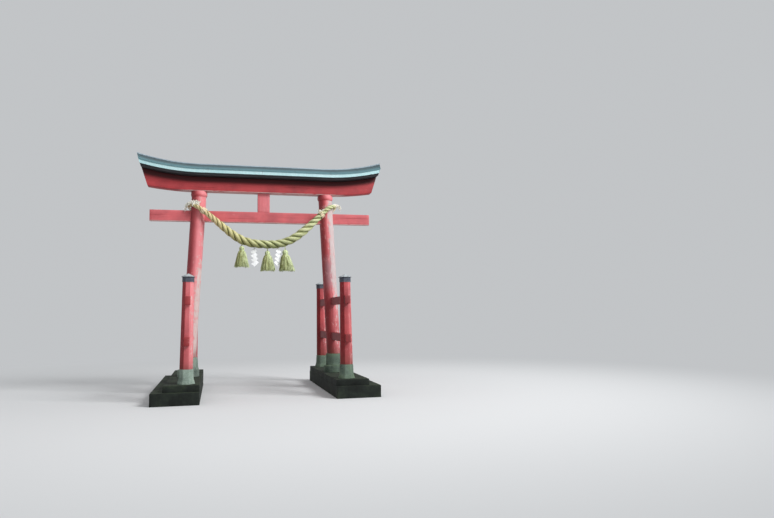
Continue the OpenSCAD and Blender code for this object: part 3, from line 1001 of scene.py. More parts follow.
@dataclass
class Plinths:
    """The two-course stone plinths under the legs."""

    inner_x: float = 1.0949
    upper_w: float = 0.560
    lower_w: float = 0.750
    upper_half_l: float = 1.6075
    lower_half_l: float = 1.6675
    lower_top: float = 0.205
    arris: float = 0.012
    pitch: float = 0.05
    worn: float = 0.0035
    # The plinths' near-black tones are dark mossy stone deepened by painted shade.
    stone: Masonry = Masonry(tone(40, 47, 42), tone(8, 11, 9), moss_amount=0.16, pores=0.5)

    def course(self, side: int, width: float, half_l: float, low: float, high: float) -> Shape:
        """Shapes one course with worn arrises.

        Args:
            side: The side of the gate that it is on.
            width: Its width, from the gate's passage outwards.
            half_l: Half its length.
            low: The height of its underside.
            high: The height of its top.

        Returns:
            The course.
        """
        shape = Shape(seed=side + 3 + round(high * 10))
        near, far = mirrored(side, self.inner_x, self.inner_x + width)
        shape.block((near, -half_l, low), (far, half_l, high))
        shape.ease(self.arris, 3, only=lambda e: any(v.co.z > low + 0.01 for v in e.verts))
        for axis, start, end in ((1, -half_l, half_l), (0, near, far), (2, low, high)):
            shape.rows(axis, start, end, self.pitch)
        shape.wear(self.worn, 9.0, keep=lambda spot: spot.z < low + 0.002)
        return shape

    def build(self) -> None:
        """Builds both plinths."""
        material = self.stone.material("plinth_stone")
        for name, side in SIDES:
            lower = self.course(side, self.lower_w, self.lower_half_l, 0.0, self.lower_top)
            lower.fit(f"{name}_plinth_base_course", material, "plinth_stone", f"{name}_lower_plinth")
            upper = self.course(side, self.upper_w, self.upper_half_l, self.lower_top, GATE.plinth_top)
            upper.fit(f"{name}_plinth_top_course", material, "plinth_stone", f"{name}_upper_plinth")


@dataclass
class MainPillars:
    """The two leaning round pillars with their concrete footings and their collars."""

    radius: float = 0.131
    foot_z: float = 0.655
    top_z: float = 3.584
    collar_top: float = 3.692
    footing_r: float = 0.152
    footing_foot_r: float = 0.192
    footing_foot_h: float = 0.125
    collar_gap_r: float = 0.126
    collar_r: float = 0.138
    collar_swell: float = 0.009
    spare: float = 0.06
    worn: float = 0.0016
    footing_worn: float = 0.0022
    sides: int = 96
    rings: int = 64
    cracks: int = 5
    crack_w: float = 0.0032
    paint: Vermilion = Vermilion(
        Grain.Z, fade=0.85, flake=1.12, even_fade=0.2, splash_z=0.655, sound_above=2.25,
    )
    bare_paint: Vermilion = Vermilion(
        Grain.Z, fade=0.9, flake=1.55, even_fade=0.15, splash_z=0.655, sound_below=1.9,
        bare=tone(210, 205, 207), dull_z=2.2, low_shade=(2.0, 1.3, 0.7),
    )
    collar_paint: Vermilion = Vermilion(Grain.X, fade=0.7, flake=0.3, even_fade=0.2)
    concrete: Masonry = Masonry(tone(152, 166, 156), tone(70, 82, 75), moss_amount=0.35)
    shaded_concrete: Masonry = Masonry(tone(112, 130, 117), tone(48, 62, 52), moss_amount=0.5)

    def pillar(self, side: int) -> Shape:
        """Shapes a pillar: an upright log with drying cracks, leaned over and cut level.

        Args:
            side: -1 is left and 1 right.

        Returns:
            The pillar.
        """
        low, high = self.foot_z - self.spare, self.top_z + self.spare
        shape = Shape(seed=11 + side)
        levels = [(self.radius, low + (high - low) * i / self.rings) for i in range(self.rings + 1)]
        points = shape.shaft(self.sides, levels)
        rng = random.Random(40 + side)
        for _ in range(self.cracks):
            self.crack(points, rng)
        shape.wear(self.worn, 14.0)
        lean = Matrix.Rotation(-side * GATE.lean, 4, "Y")
        stand = Matrix.Translation((side * GATE.half_span, 0, GATE.plinth_top))
        drop = Matrix.Translation((0, 0, -GATE.plinth_top))
        shape.move(stand @ lean @ drop)
        shape.cut((0, 0, self.foot_z), (0, 0, -1))
        shape.cut((0, 0, self.top_z), (0, 0, 1))
        return shape

    def crack(self, points: list[bmesh.types.BMVert], rng: random.Random) -> None:
        """Draws the points of one column of the log into a long narrow crack.

        Args:
            points: The log's points, ring after ring.
            rng: Where the crack's chance values come from.
        """
        column = rng.randrange(self.sides)
        start = rng.randrange(2, self.rings // 2)
        length = rng.randrange(8, 30)
        depth = rng.uniform(0.005, 0.010)
        for row in range(start, min(start + length, self.rings)):
            share = math.sin(math.pi * (row - start) / length)
            width = max(self.crack_w * share, self.crack_w / 4)
            spot = points[row * self.sides + column]
            across = Vector((-spot.co.y, spot.co.x, 0)).normalized()
            middle = spot.co.copy() + across * 0.004 * math.sin(row * 0.9 + column)
            for step, sunk in ((-1, 0.0), (0, depth * share), (1, 0.0)):
                vert = points[row * self.sides + (column + step) % self.sides]
                rim = middle + across * step * width
                flat = Vector((rim.x, rim.y, 0)).normalized() * (self.radius - sunk)
                vert.co = Vector((flat.x, flat.y, vert.co.z))

    def footing(self, side: int) -> Shape:
        """Shapes a two-tiered round footing.

        Args:
            side: -1 is left and 1 right.

        Returns:
            The footing.
        """
        base, top = GATE.plinth_top, self.foot_z
        shoulder = base + self.footing_foot_h
        foot, body = self.footing_foot_r, self.footing_r
        shape = Shape(seed=21 + side)
        shape.turned([
            (0, base), (foot, base), (foot, shoulder - 0.016), (foot - 0.004, shoulder - 0.005),
            (foot - 0.014, shoulder), (body + 0.004, shoulder + 0.001), (body, shoulder + 0.006),
            (body, shoulder + 0.07), (body, shoulder + 0.14), (body, top - 0.012),
            (body - 0.004, top - 0.003), (body - 0.011, top), (0, top),
        ], 72)
        shape.shift((side * GATE.pillar_x(self.foot_z), 0, 0))
        shape.wear(self.footing_worn, 18.0, keep=lambda spot: spot.z < base + 0.001)
        return shape

    def collar(self, side: int) -> Shape:
        """Shapes the swelling collar under the lintel, with a shadow gap over the pillar.

        Args:
            side: -1 is left and 1 right.

        Returns:
            The collar.
        """
        low, high = self.top_z, self.collar_top
        gap, full = self.collar_gap_r, self.collar_r
        outline = [(0, low), (gap, low), (gap + 0.001, low + 0.006), (full, low + 0.009)]
        steps = 12
        for i in range(steps + 1):
            share = i / steps
            swell = self.collar_swell * math.sin(math.pi * share ** 0.8)
            outline.append((full + swell, low + 0.012 + (high - low - 0.016) * share))
        shape = Shape()
        shape.turned([*outline, (full - 0.004, high), (0, high)], self.sides)
        shape.shift((side * GATE.pillar_x((low + high) / 2), 0, 0))
        return shape

    def build(self) -> None:
        """Builds both pillars with what is on them."""
        paints = {
            "left": self.paint.material("pillar_paint"),
            "right": self.bare_paint.material("flaking_pillar_paint"),
        }
        collar_paint = self.collar_paint.material("collar_paint")
        concretes = {
            "left": self.concrete.material("footing_concrete"),
            "right": self.shaded_concrete.material("shaded_footing_concrete"),
        }
        for name, side in SIDES:
            for shape, piece, finish, slot, node in (
                (self.pillar(side), "pillar", paints[name], "vermilion_wood", "main_pillar"),
                (self.footing(side), "footing", concretes[name], "concrete", "pillar_footing"),
                (self.collar(side), "collar", collar_paint, "vermilion_wood", "pillar_collar"),
            ):
                shape.fit(f"{name}_{piece}", finish, slot, f"{name}_{node}", smooth=50)


@dataclass
class SupportPosts:
    """The four octagonal posts with their flared bases and metal caps."""

    foot_w: float = 0.208
    top_w: float = 0.174
    top_z: float = 2.025
    arris: float = 0.005
    base_w: float = 0.275
    neck_w: float = 0.232
    base_top_w: float = 0.220
    flare_h: float = 0.090
    sleeve_h: float = 0.080
    sleeve_w: float = 0.1852
    eave_w: float = 0.214
    eave_t: float = 0.007
    rise: float = 0.052
    tip_w: float = 0.008
    worn: float = 0.0012
    base_worn: float = 0.0025
    cracks: int = 4
    crack_d: float = 0.007
    paint: Vermilion = Vermilion(Grain.Z, fade=0.85, flake=0.6, even_fade=0.12, splash_z=0.545)
    shaded_paint: Vermilion = Vermilion(
        Grain.Z, fade=0.42, flake=0.6, even_fade=0.06, splash_z=0.545, fresh=tone(180, 40, 40),
        deep=tone(132, 22, 28),
    )
    concrete: Masonry = Masonry(tone(168, 186, 174), tone(88, 102, 94), moss_amount=0.3)
    shaded_concrete: Masonry = Masonry(tone(124, 142, 128), tone(56, 70, 60), moss_amount=0.5)
    metal: Sheet = Sheet(
        tone(58, 62, 76), tone(108, 114, 122), tone(36, 35, 40), chalky=0.45, run_stretch=(5, 5, 5),
        bleached_sky_top=0.85,
    )

    def across(self, width: float) -> float:
        """Gives an octagon's radius to its corners from its width across flats."""
        return width / 2 / math.cos(math.pi / 8)

    def stand(self, shape: Shape, side: int, end: int) -> None:
        """Moves what was made upright on the origin onto a post's leaning axis.

        Args:
            shape: The shape.
            side: -1 is left and 1 right.
            end: -1 is the front and 1 the rear.
        """
        lean = Matrix.Rotation(-side * GATE.post_lean, 4, "Y")
        place = Matrix.Translation((side * GATE.post_x(GATE.base_top), end * GATE.post_reach, GATE.base_top))
        shape.move(place @ lean)

    def post(self, side: int, end: int) -> Shape:
        """Shapes an octagonal post with softened arrises and a few drying cracks.

        Args:
            side: -1 is left and 1 right.
            end: -1 is the front and 1 the rear.

        Returns:
            The post.
        """
        shape = Shape(seed=30 + 2 * side + end)
        height = self.top_z - GATE.base_top
        shape.shaft(8, [(self.across(self.foot_w), -0.004), (self.across(self.top_w), height + 0.004)])
        shape.ease(self.arris, 3)
        shape.rows(2, 0.0, height, 0.06)
        rng = random.Random(50 + 2 * side + end)
        for _ in range(self.cracks):
            out = level_way(math.pi / 4 * rng.randrange(8))
            low = rng.uniform(0.1, height * 0.6)
            high = min(height - 0.05, low + rng.uniform(0.25, 0.7))
            aside = out.cross(Vector((0, 0, 1))) * rng.uniform(-0.025, 0.025)
            first, second = (
                out * (self.foot_w + (self.top_w - self.foot_w) * z / height) / 2 + Vector((0, 0, z)) + aside
                for z in (low, high)
            )
            shape.groove(first, second, out, self.crack_d)
        shape.wear(self.worn, 16.0)
        self.stand(shape, side, end)
        shape.cut((0, 0, GATE.base_top), (0, 0, -1))
        shape.cut((0, 0, self.top_z), (0, 0, 1))
        return shape

    def base(self, side: int, end: int) -> Shape:
        """Shapes a flared octagonal concrete base.

        Args:
            side: -1 is left and 1 right.
            end: -1 is the front and 1 the rear.

        Returns:
            The base.
        """
        shape = Shape(seed=60 + 2 * side + end)
        height = GATE.base_top - GATE.plinth_top
        rim = 0.012
        levels = [(self.base_w, 0.0), (self.base_w - 0.002, rim)]
        steps = 6
        for i in range(1, steps + 1):
            share = i / steps
            width = self.neck_w + (self.base_w - self.neck_w) * (1 - share) ** 1.5
            levels.append((width, rim + (self.flare_h - rim) * share))
        levels.append((self.neck_w - 0.004, 0.15))
        levels += [(self.base_top_w, height - 0.010), (self.base_top_w - rim, height)]
        shape.shaft(8, [(self.across(width), z) for width, z in levels])

        def upright(edge: bmesh.types.BMEdge) -> bool:
            """Tells whether an edge rises rather than runs round the base."""
            return abs((edge.verts[0].co - edge.verts[1].co).normalized().z) > 0.3

        shape.ease(0.006, sharper_than=20, only=upright)
        shape.rows(2, 0.0, height, 0.02)
        shape.wear(self.base_worn, 20.0, keep=lambda spot: spot.z < 0.001)
        shape.shift((side * GATE.post_x(GATE.base_top), end * GATE.post_reach, GATE.plinth_top))
        return shape

    def cap(self, side: int, end: int) -> Shape:
        """Shapes a folded sheet cap: a sleeve, thin eaves and a low pyramid with raised hips.

        Args:
            side: -1 is left and 1 right.
            end: -1 is the front and 1 the rear.

        Returns:
            The cap.
        """
        shape = Shape()
        lift = self.top_z - GATE.base_top + 0.0015
        foot, eave = lift - self.sleeve_h, lift + self.eave_t
        levels = (
            (self.sleeve_w + 0.003, foot), (self.sleeve_w + 0.003, foot + 0.006),
            (self.sleeve_w, foot + 0.008), (self.sleeve_w, lift - 0.001),
            (self.eave_w - 0.004, lift), (self.eave_w, lift + 0.0015),
            (self.eave_w, eave), (self.eave_w - 0.005, eave + 0.001),
            (self.eave_w * 0.5, eave + self.rise * 0.53), (self.tip_w, eave + self.rise),
        )
        shape.shaft(8, [(self.across(width), z) for width, z in levels])
        for i in range(8):
            start = level_way(math.pi / 8 + math.pi / 4 * i) * self.across(self.eave_w - 0.012)
            start.z = eave + 0.002
            finish = Vector((0, 0, eave + self.rise - 0.001))
            run = finish - start
            hip = bmesh.ops.create_cube(shape.bm, size=1.0)["verts"]
            bmesh.ops.scale(shape.bm, vec=(0.005, run.length, 0.004), verts=hip)
            aim = run.to_track_quat("Y", "Z").to_matrix().to_4x4()
            bmesh.ops.transform(shape.bm, matrix=Matrix.Translation((start + finish) / 2) @ aim, verts=hip)
        self.stand(shape, side, end)
        return shape

    def build(self) -> None:
        """Builds the four posts."""
        paints = {
            "left": self.paint.material("post_paint"),
            "right": self.shaded_paint.material("shaded_post_paint"),
        }
        concretes = {
            "left": self.concrete.material("base_concrete"),
            "right": self.shaded_concrete.material("shaded_base_concrete"),
        }
        metal = self.metal.material("cap_sheet")
        for name, side in SIDES:
            for end_name, end in ENDS:
                for shape, part, finish, slot, smooth in (
                    (self.post(side, end), "support_post", paints[name], "vermilion_wood", 35),
                    (self.base(side, end), "post_base", concretes[name], "concrete", 25),
                    (self.cap(side, end), "post_cap", metal, "cap_sheet", 20),
                ):
                    corner = f"{name}_{end_name}"
                    node = f"{corner}_{part.split('_')[1]}"
                    shape.fit(f"{corner}_{part}", finish, slot, node, smooth=smooth)


# A crack's start, end and height as shares of its beam, with the side of the beam that it is on
Crack = tuple[float, float, float, int]


@dataclass
class Beams:
    """The side beams, the tie beam and the strut."""

    side_w: float = 0.090
    side_h: float = 0.140
    side_half_l: float = 1.559
    side_levels: tuple[float, float] = (0.918, 1.572)
    tie_half_l: float = 2.038
    tie_t: float = 0.100
    tie_low: float = 3.127
    tie_high: float = 3.332
    strut_w: float = 0.225
    strut_t: float = 0.086
    strut_top: float = 3.692
    arris: float = 0.005
    worn: float = 0.0012
    crack_d: float = 0.008
    # The side beams' darker red is painted shade.
    shaded_side_paint: Vermilion = Vermilion(
        Grain.Y, fade=0.2, flake=0.3, even_fade=0.04, fresh=tone(148, 26, 29), deep=tone(100, 14, 19),
    )
    tie_paint: Vermilion = Vermilion(Grain.X, fade=0.58, flake=0.3, even_fade=0.18, pale_edge_z=3.129)
    strut_paint: Vermilion = Vermilion(Grain.Z, fade=0.8, flake=0.2, even_fade=0.3)
    side_cracks: tuple[tuple[float, int], ...] = ((0.02, -1), (0.3, 1), (0.58, -1), (0.82, 1))
    tie_cracks: tuple[Crack, ...] = (
        (0.0, 0.06, 0.55, -1), (0.33, 0.47, 0.36, -1), (0.86, 1.0, 0.62, -1),
        (0.1, 0.4, 0.5, 1), (0.6, 0.8, 0.4, 1),
    )

    def beam(self, low: Place, high: Place, run: int, seed: int, cracks: Sequence[Crack] = ()) -> Shape:
        """Shapes a squared timber.

        Args:
            low: Its lowest corner.
            high: Its highest corner.
            run: The index of the axis it runs along.
            seed: The seed of its wear.
            cracks: The cracks of a level timber.

        Returns:
            The timber.
        """
        shape = Shape(seed=seed)
        shape.block(low, high)
        shape.ease(self.arris, 3)
        shape.rows(run, low[run], high[run], 0.06)
        across = 1 - run
        for start, end, up, face in cracks:
            out = Vector((0, 0, 0))
            out[across] = face
            first = Vector((low[0], low[1], low[2] + (high[2] - low[2]) * up))
            first[across] = high[across] if face > 0 else low[across]
            second = first.copy()
            first[run] = low[run] + (high[run] - low[run]) * start
            second[run] = low[run] + (high[run] - low[run]) * end
            shape.groove(first, second, out, self.crack_d)
        shape.rows(2, low[2], high[2], 0.045)
        shape.wear(self.worn, 8.0)
        return shape

    def build(self) -> None:
        """Builds all beams and the strut."""
        paint = self.shaded_side_paint.material("shaded_side_beam_paint")
        rng = random.Random(7)
        for name, side in SIDES:
            for level, z in zip(("lower", "upper"), self.side_levels):
                x = side * GATE.post_x(z + self.side_h / 2)
                low = (x - self.side_w / 2, -self.side_half_l, z)
                high = (x + self.side_w / 2, self.side_half_l, z + self.side_h)
                cracks = [
                    (start, start + rng.uniform(0.08, 0.2), rng.uniform(0.25, 0.75), face)
                    for start, face in self.side_cracks
                ]
                shape = self.beam(low, high, 1, 70 + side + round(z), cracks)
                shape.fit(f"{name}_{level}_beam", paint, "vermilion_wood", f"{name}_{level}_side_beam")
        low = (-self.tie_half_l, -self.tie_t / 2, self.tie_low)
        high = (self.tie_half_l, self.tie_t / 2, self.tie_high)
        tie = self.beam(low, high, 0, 81, self.tie_cracks)
        tie.fit("through_tie_beam", self.tie_paint.material("tie_beam_paint"), "vermilion_wood", "tie_beam")
        low = (-self.strut_w / 2, -self.strut_t / 2, self.tie_high)
        high = (self.strut_w / 2, self.strut_t / 2, self.strut_top)
        strut = self.beam(low, high, 2, 83)
        strut.fit("middle_strut", self.strut_paint.material("strut_paint"), "vermilion_wood", "centre_strut")


@dataclass
class Lintels:
    """The lower lintel and the boxed upper lintel."""

    half_t: float = 0.1075
    low_z: float = 3.692
    lower_radius: float = 6.100
    core_half: float = 0.262
    bare_h: float = 0.045
    eave_h: float = 0.120
    rise: float = 0.143
    roof_half: float = 0.288
    roof_t: float = 0.009
    arris: float = 0.006
    worn: float = 0.0012
    crack_starts: tuple[float, ...] = (-1.4, 0.35, 0.95)
    crack_l: float = 0.55
    crack_d: float = 0.008
    batten_pitch: float = 0.48
    batten_w: float = 0.024
    lower_paint: Vermilion = Vermilion(
        Grain.X, fade=0.22, flake=0.12, even_fade=0.04, pale_edge_z=3.694, eave_shadow_sweep=GATE.sweep,
        fresh=tone(175, 39, 42), deep=tone(132, 23, 30),
    )
    boards: Board = Board(tone(54, 55, 58), tone(20, 21, 24))

    def lower(self) -> Shape:
        """Shapes the lower lintel, whose underside sweeps less than its top.

        Returns:
            The lintel.
        """
        sweep = GATE.sweep
        shape = Shape(seed=90)
        low, high = self.low_z, sweep.base_z
        shape.block((-GATE.bar_half, -self.half_t, low), (GATE.bar_half, self.half_t, high))
        shape.ease(self.arris, 3)
        shape.rows(0, -GATE.bar_half, GATE.bar_half, 0.05)
        for x in self.crack_starts:
            first = Vector((x, -self.half_t, low + 0.11 + 0.03 * x))
            shape.groove(first, first + Vector((self.crack_l, 0, 0)), Vector((0, -1, 0)), self.crack_d)
        shape.rows(2, low, high, 0.05)
        for vert in shape.bm.verts:
            share = (vert.co.z - low) / (high - low)
            under = sweep.lift(vert.co.x, self.lower_radius)
            over = sweep.lift(vert.co.x, sweep.radius)
            vert.co.z += under + (over - under) * share
        shape.wear(self.worn, 8.0)
        self.trim(shape)
        return shape

    def trim(self, shape: Shape) -> None:
        """Cuts both slanted ends.

        Args:
            shape: The shape.
        """
        sweep = GATE.sweep
        for _, side in SIDES:
            shape.cut((side * sweep.end_x, 0, sweep.end_z), sweep.end_way(side))

    def bent_bar(self, shape: Shape, section: Sequence[tuple[float, float]]) -> None:
        """Adds a straight bar of that section, then sweeps all of the shape up and trims its ends."""
        shape.bar(section, GATE.bar_half)
        self.bend(shape)

    def bend(self, shape: Shape) -> None:
        """Cuts straight bars into rows, sweeps them up and trims their ends.

        Args:
            shape: The shape.
        """
        shape.rows(0, -GATE.bar_half, GATE.bar_half, 0.05)
        for vert in shape.bm.verts:
            GATE.sweep.bend(vert.co)
        self.trim(shape)

    def roof_z(self, y: float) -> float:
        """Gives the height of the roof's top over the middle at a distance from the ridge."""
        return GATE.sweep.base_z + self.eave_h + self.rise * (1 - abs(y) / self.roof_half)

    def core(self) -> Shape:
        """Shapes the boxed upper lintel with its drip edge.

        Returns:
            The lintel.
        """
        z = GATE.sweep.base_z
        half, under = self.core_half, self.roof_t + 0.001
        top = self.roof_z(half) - under
        right = [
            (half - 0.024, z + 0.004), (half - 0.022, z), (half - 0.002, z), (half, z + 0.006), (half, top),
        ]
        left = [(-y, up) for y, up in reversed(right)]
        shape = Shape(seed=95)
        self.bent_bar(shape, [*left[1:], *right, (0, self.roof_z(0) - under), left[0]])
        return shape

    def soffit_battens(self) -> Shape:
        """Shapes the narrow battens that cover the soffit's board joints.

        Returns:
            All the battens.
        """
        shape = Shape(seed=96)
        z = GATE.sweep.base_z
        for i in range(-4, 5):
            x, beside = self.batten_pitch * (i or 0.5), self.batten_w / 2
            for _, side in SIDES:
                near, far = mirrored(side, self.half_t + 0.002, self.core_half - 0.024)
                shape.block((x - beside, near, z - 0.003), (x + beside, far, z + 0.006))
        for vert in shape.bm.verts:
            GATE.sweep.bend(vert.co)
        return shape

    def build(self) -> None:
        """Builds both lintels."""
        paint = self.lower_paint.material("lintel_paint")
        self.lower().fit("swept_lower_lintel", paint, "vermilion_wood", "lower_lintel")
        boards = self.boards.material("dark_boards")
        self.core().fit("boxed_upper_lintel", boards, "dark_board", "upper_lintel")
        self.soffit_battens().fit("soffit_battens", boards, "dark_board")


@dataclass
class Roof:
    """The sheet-metal roof: two slopes, the ridge cap and the eave fascias."""

    lintels: Lintels
    panel: float = 0.455
    seam_w: float = 0.014
    seam_h: float = 0.005
    lap_w: float = 0.024
    fascia_half: float = 0.280
    ridge_half: float = 0.045
    ridge_t: float = 0.008
    verge_drop: float = 0.055
    verge_t: float = 0.0035
    slope_metal: Sheet = Sheet(
        tone(24, 46, 54), tone(82, 126, 134), tone(20, 28, 36), chalky=0.3, pale_eave=0.85,
    )
    fascia_metal: Sheet = Sheet(tone(168, 208, 212), tone(208, 236, 238), tone(108, 128, 132), chalky=0.7)
    ridge_metal: Sheet = Sheet(tone(112, 128, 140), tone(172, 188, 196), tone(66, 76, 86), chalky=0.8)

    def slope(self, end: int) -> Shape:
        """Shapes one slope: flat sheets with raised seams between them and a folded lower edge.

        Args:
            end: -1 is the front and 1 the rear.

        Returns:
            The slope.
        """
        roof_z = self.lintels.roof_z
        half, t = self.lintels.roof_half, self.lintels.roof_t
        shape = Shape(seed=100 + end)
        section = [
            (0.0, roof_z(0) - t), (0.0, roof_z(0)), (end * (half - 0.004), roof_z(half - 0.004)),
            (end * half, roof_z(half) - 0.003), (end * half, roof_z(half) - t - 0.004),
            (end * (half - 0.003), roof_z(half) - t - 0.004), (end * (half - 0.004), roof_z(half) - t),
        ]
        shape.bar(section[::end], GATE.bar_half)
        count = int(2.3 / self.panel)
        for i in range(-count, count + 1):
            x, beside = i * self.panel, self.seam_w / 2
            for vert in shape.block((x - beside, 0.0, 0.0), (x + beside, half - 0.006, self.seam_h)):
                down = vert.co.y + 0.002
                vert.co = Vector((vert.co.x, end * down, roof_z(down) + vert.co.z - 0.001))
        shape.look_out()
        shape.rows(1, *mirrored(end, 0.0, half), 0.06)
        self.lintels.bend(shape)
        return shape

    def fascia(self, end: int) -> Shape:
        """Shapes one eave fascia with a hemmed lower edge and lapped joints.

        Args:
            end: -1 is the front and 1 the rear.

        Returns:
            The fascia.
        """
        low = GATE.sweep.base_z + self.lintels.bare_h
        top = self.lintels.roof_z(self.fascia_half) - self.lintels.roof_t - 0.0005
        inner, outer = self.lintels.core_half + 0.0005, self.fascia_half
        section = [
            (end * y, z)
            for y, z in (
                (inner, low), (outer - 0.002, low), (outer, low + 0.002), (outer, low + 0.007),
                (outer - 0.002, low + 0.009), (outer - 0.002, top), (inner, top),
            )
        ]
        shape = Shape(seed=104 + end)
        shape.bar(section[::end], GATE.bar_half)
        near, far = mirrored(end, outer - 0.003, outer - 0.0005)
        for i in range(-2, 3):
            x, beside = i * 2 * self.panel, self.lap_w / 2
            shape.block((x - beside, near, low + 0.009), (x + beside, far, top - 0.002))
        self.lintels.bend(shape)
        return shape

    def ridge(self) -> Shape:
        """Shapes the folded ridge cap with rolled edges.

        Returns:
            The cap.
        """
        half, t = self.ridge_half, self.ridge_t
        right = [
            (0, t - 0.0008), (0.008, t - 0.001), (0.014, t - 0.003), (half - 0.010, t - 0.003),
            (half - 0.008, t), (half - 0.002, t), (half, t - 0.002), (half, 0),
        ]
        left = [(-y, up) for y, up in reversed(right[1:])]
        shape = Shape(seed=108)
        self.lintels.bent_bar(
            shape, [(y, self.lintels.roof_z(y) + 0.0003 + up) for y, up in (*left, *right, (0, 0))]
        )
        return shape

    def verge(self, side: int) -> Shape:
        """Shapes the sheet that is folded down over one gable end.

        Args:
            side: -1 is left and 1 right.

        Returns:
            The sheet.
        """
        sweep, roof_z = GATE.sweep, self.lintels.roof_z
        shape = Shape(seed=110 + side)
        half = self.lintels.roof_half - 0.001
        top = [(y, roof_z(y) - 0.001) for y in (-half, 0.0, half)]
        section = top + [(y, z - self.verge_drop) for y, z in reversed(top)]
        self.lintels.bent_bar(shape, section[::-1])
        shape.cut((side * (sweep.end_x - self.verge_t), 0, sweep.end_z), -sweep.end_way(side))
        return shape

    def build(self) -> None:
        """Builds the roof."""
        slope_metal = self.slope_metal.material("roof_sheet")
        fascia_metal = self.fascia_metal.material("fascia_sheet")
        ridge_metal = self.ridge_metal.material("ridge_sheet")
        for name, end in ENDS:
            self.slope(end).fit(
                f"{name}_roof_sheets", slope_metal, "roof_sheet", f"roof_{name}_slope", smooth=20
            )
            self.fascia(end).fit(
                f"{name}_eave_fascia", fascia_metal, "fascia_sheet", f"{name}_fascia", smooth=20
            )
        self.ridge().fit("ridge_capping", ridge_metal, "roof_sheet", "roof_ridge_cap", smooth=30)
        for name, side in SIDES:
            self.verge(side).fit(f"{name}_verge_sheet", fascia_metal, "fascia_sheet", smooth=20)


def smooth_line(points: Sequence[Place], spacing: float) -> list[Vector]:
    """Runs a smooth curve through points.

    Args:
        points: The points, in metres.
        spacing: The distance between the points that it returns, about.

    Returns:
        Points along the curve, both ends included.
    """
    spots = [Vector(p) for p in points]
    spots = [2 * spots[0] - spots[1], *spots, 2 * spots[-1] - spots[-2]]
    line: list[Vector] = []
    for a, b, c, d in zip(spots, spots[1:], spots[2:], spots[3:]):
        steps = max(1, round((c - b).length / spacing))
        second, third = 2 * a - 5 * b + 4 * c - d, 3 * b - a - 3 * c + d
        for t in (i / steps for i in range(steps)):
            line.append(0.5 * (2 * b + (c - a) * t + second * t * t + third * t ** 3))
    line.append(spots[-2])
    return line


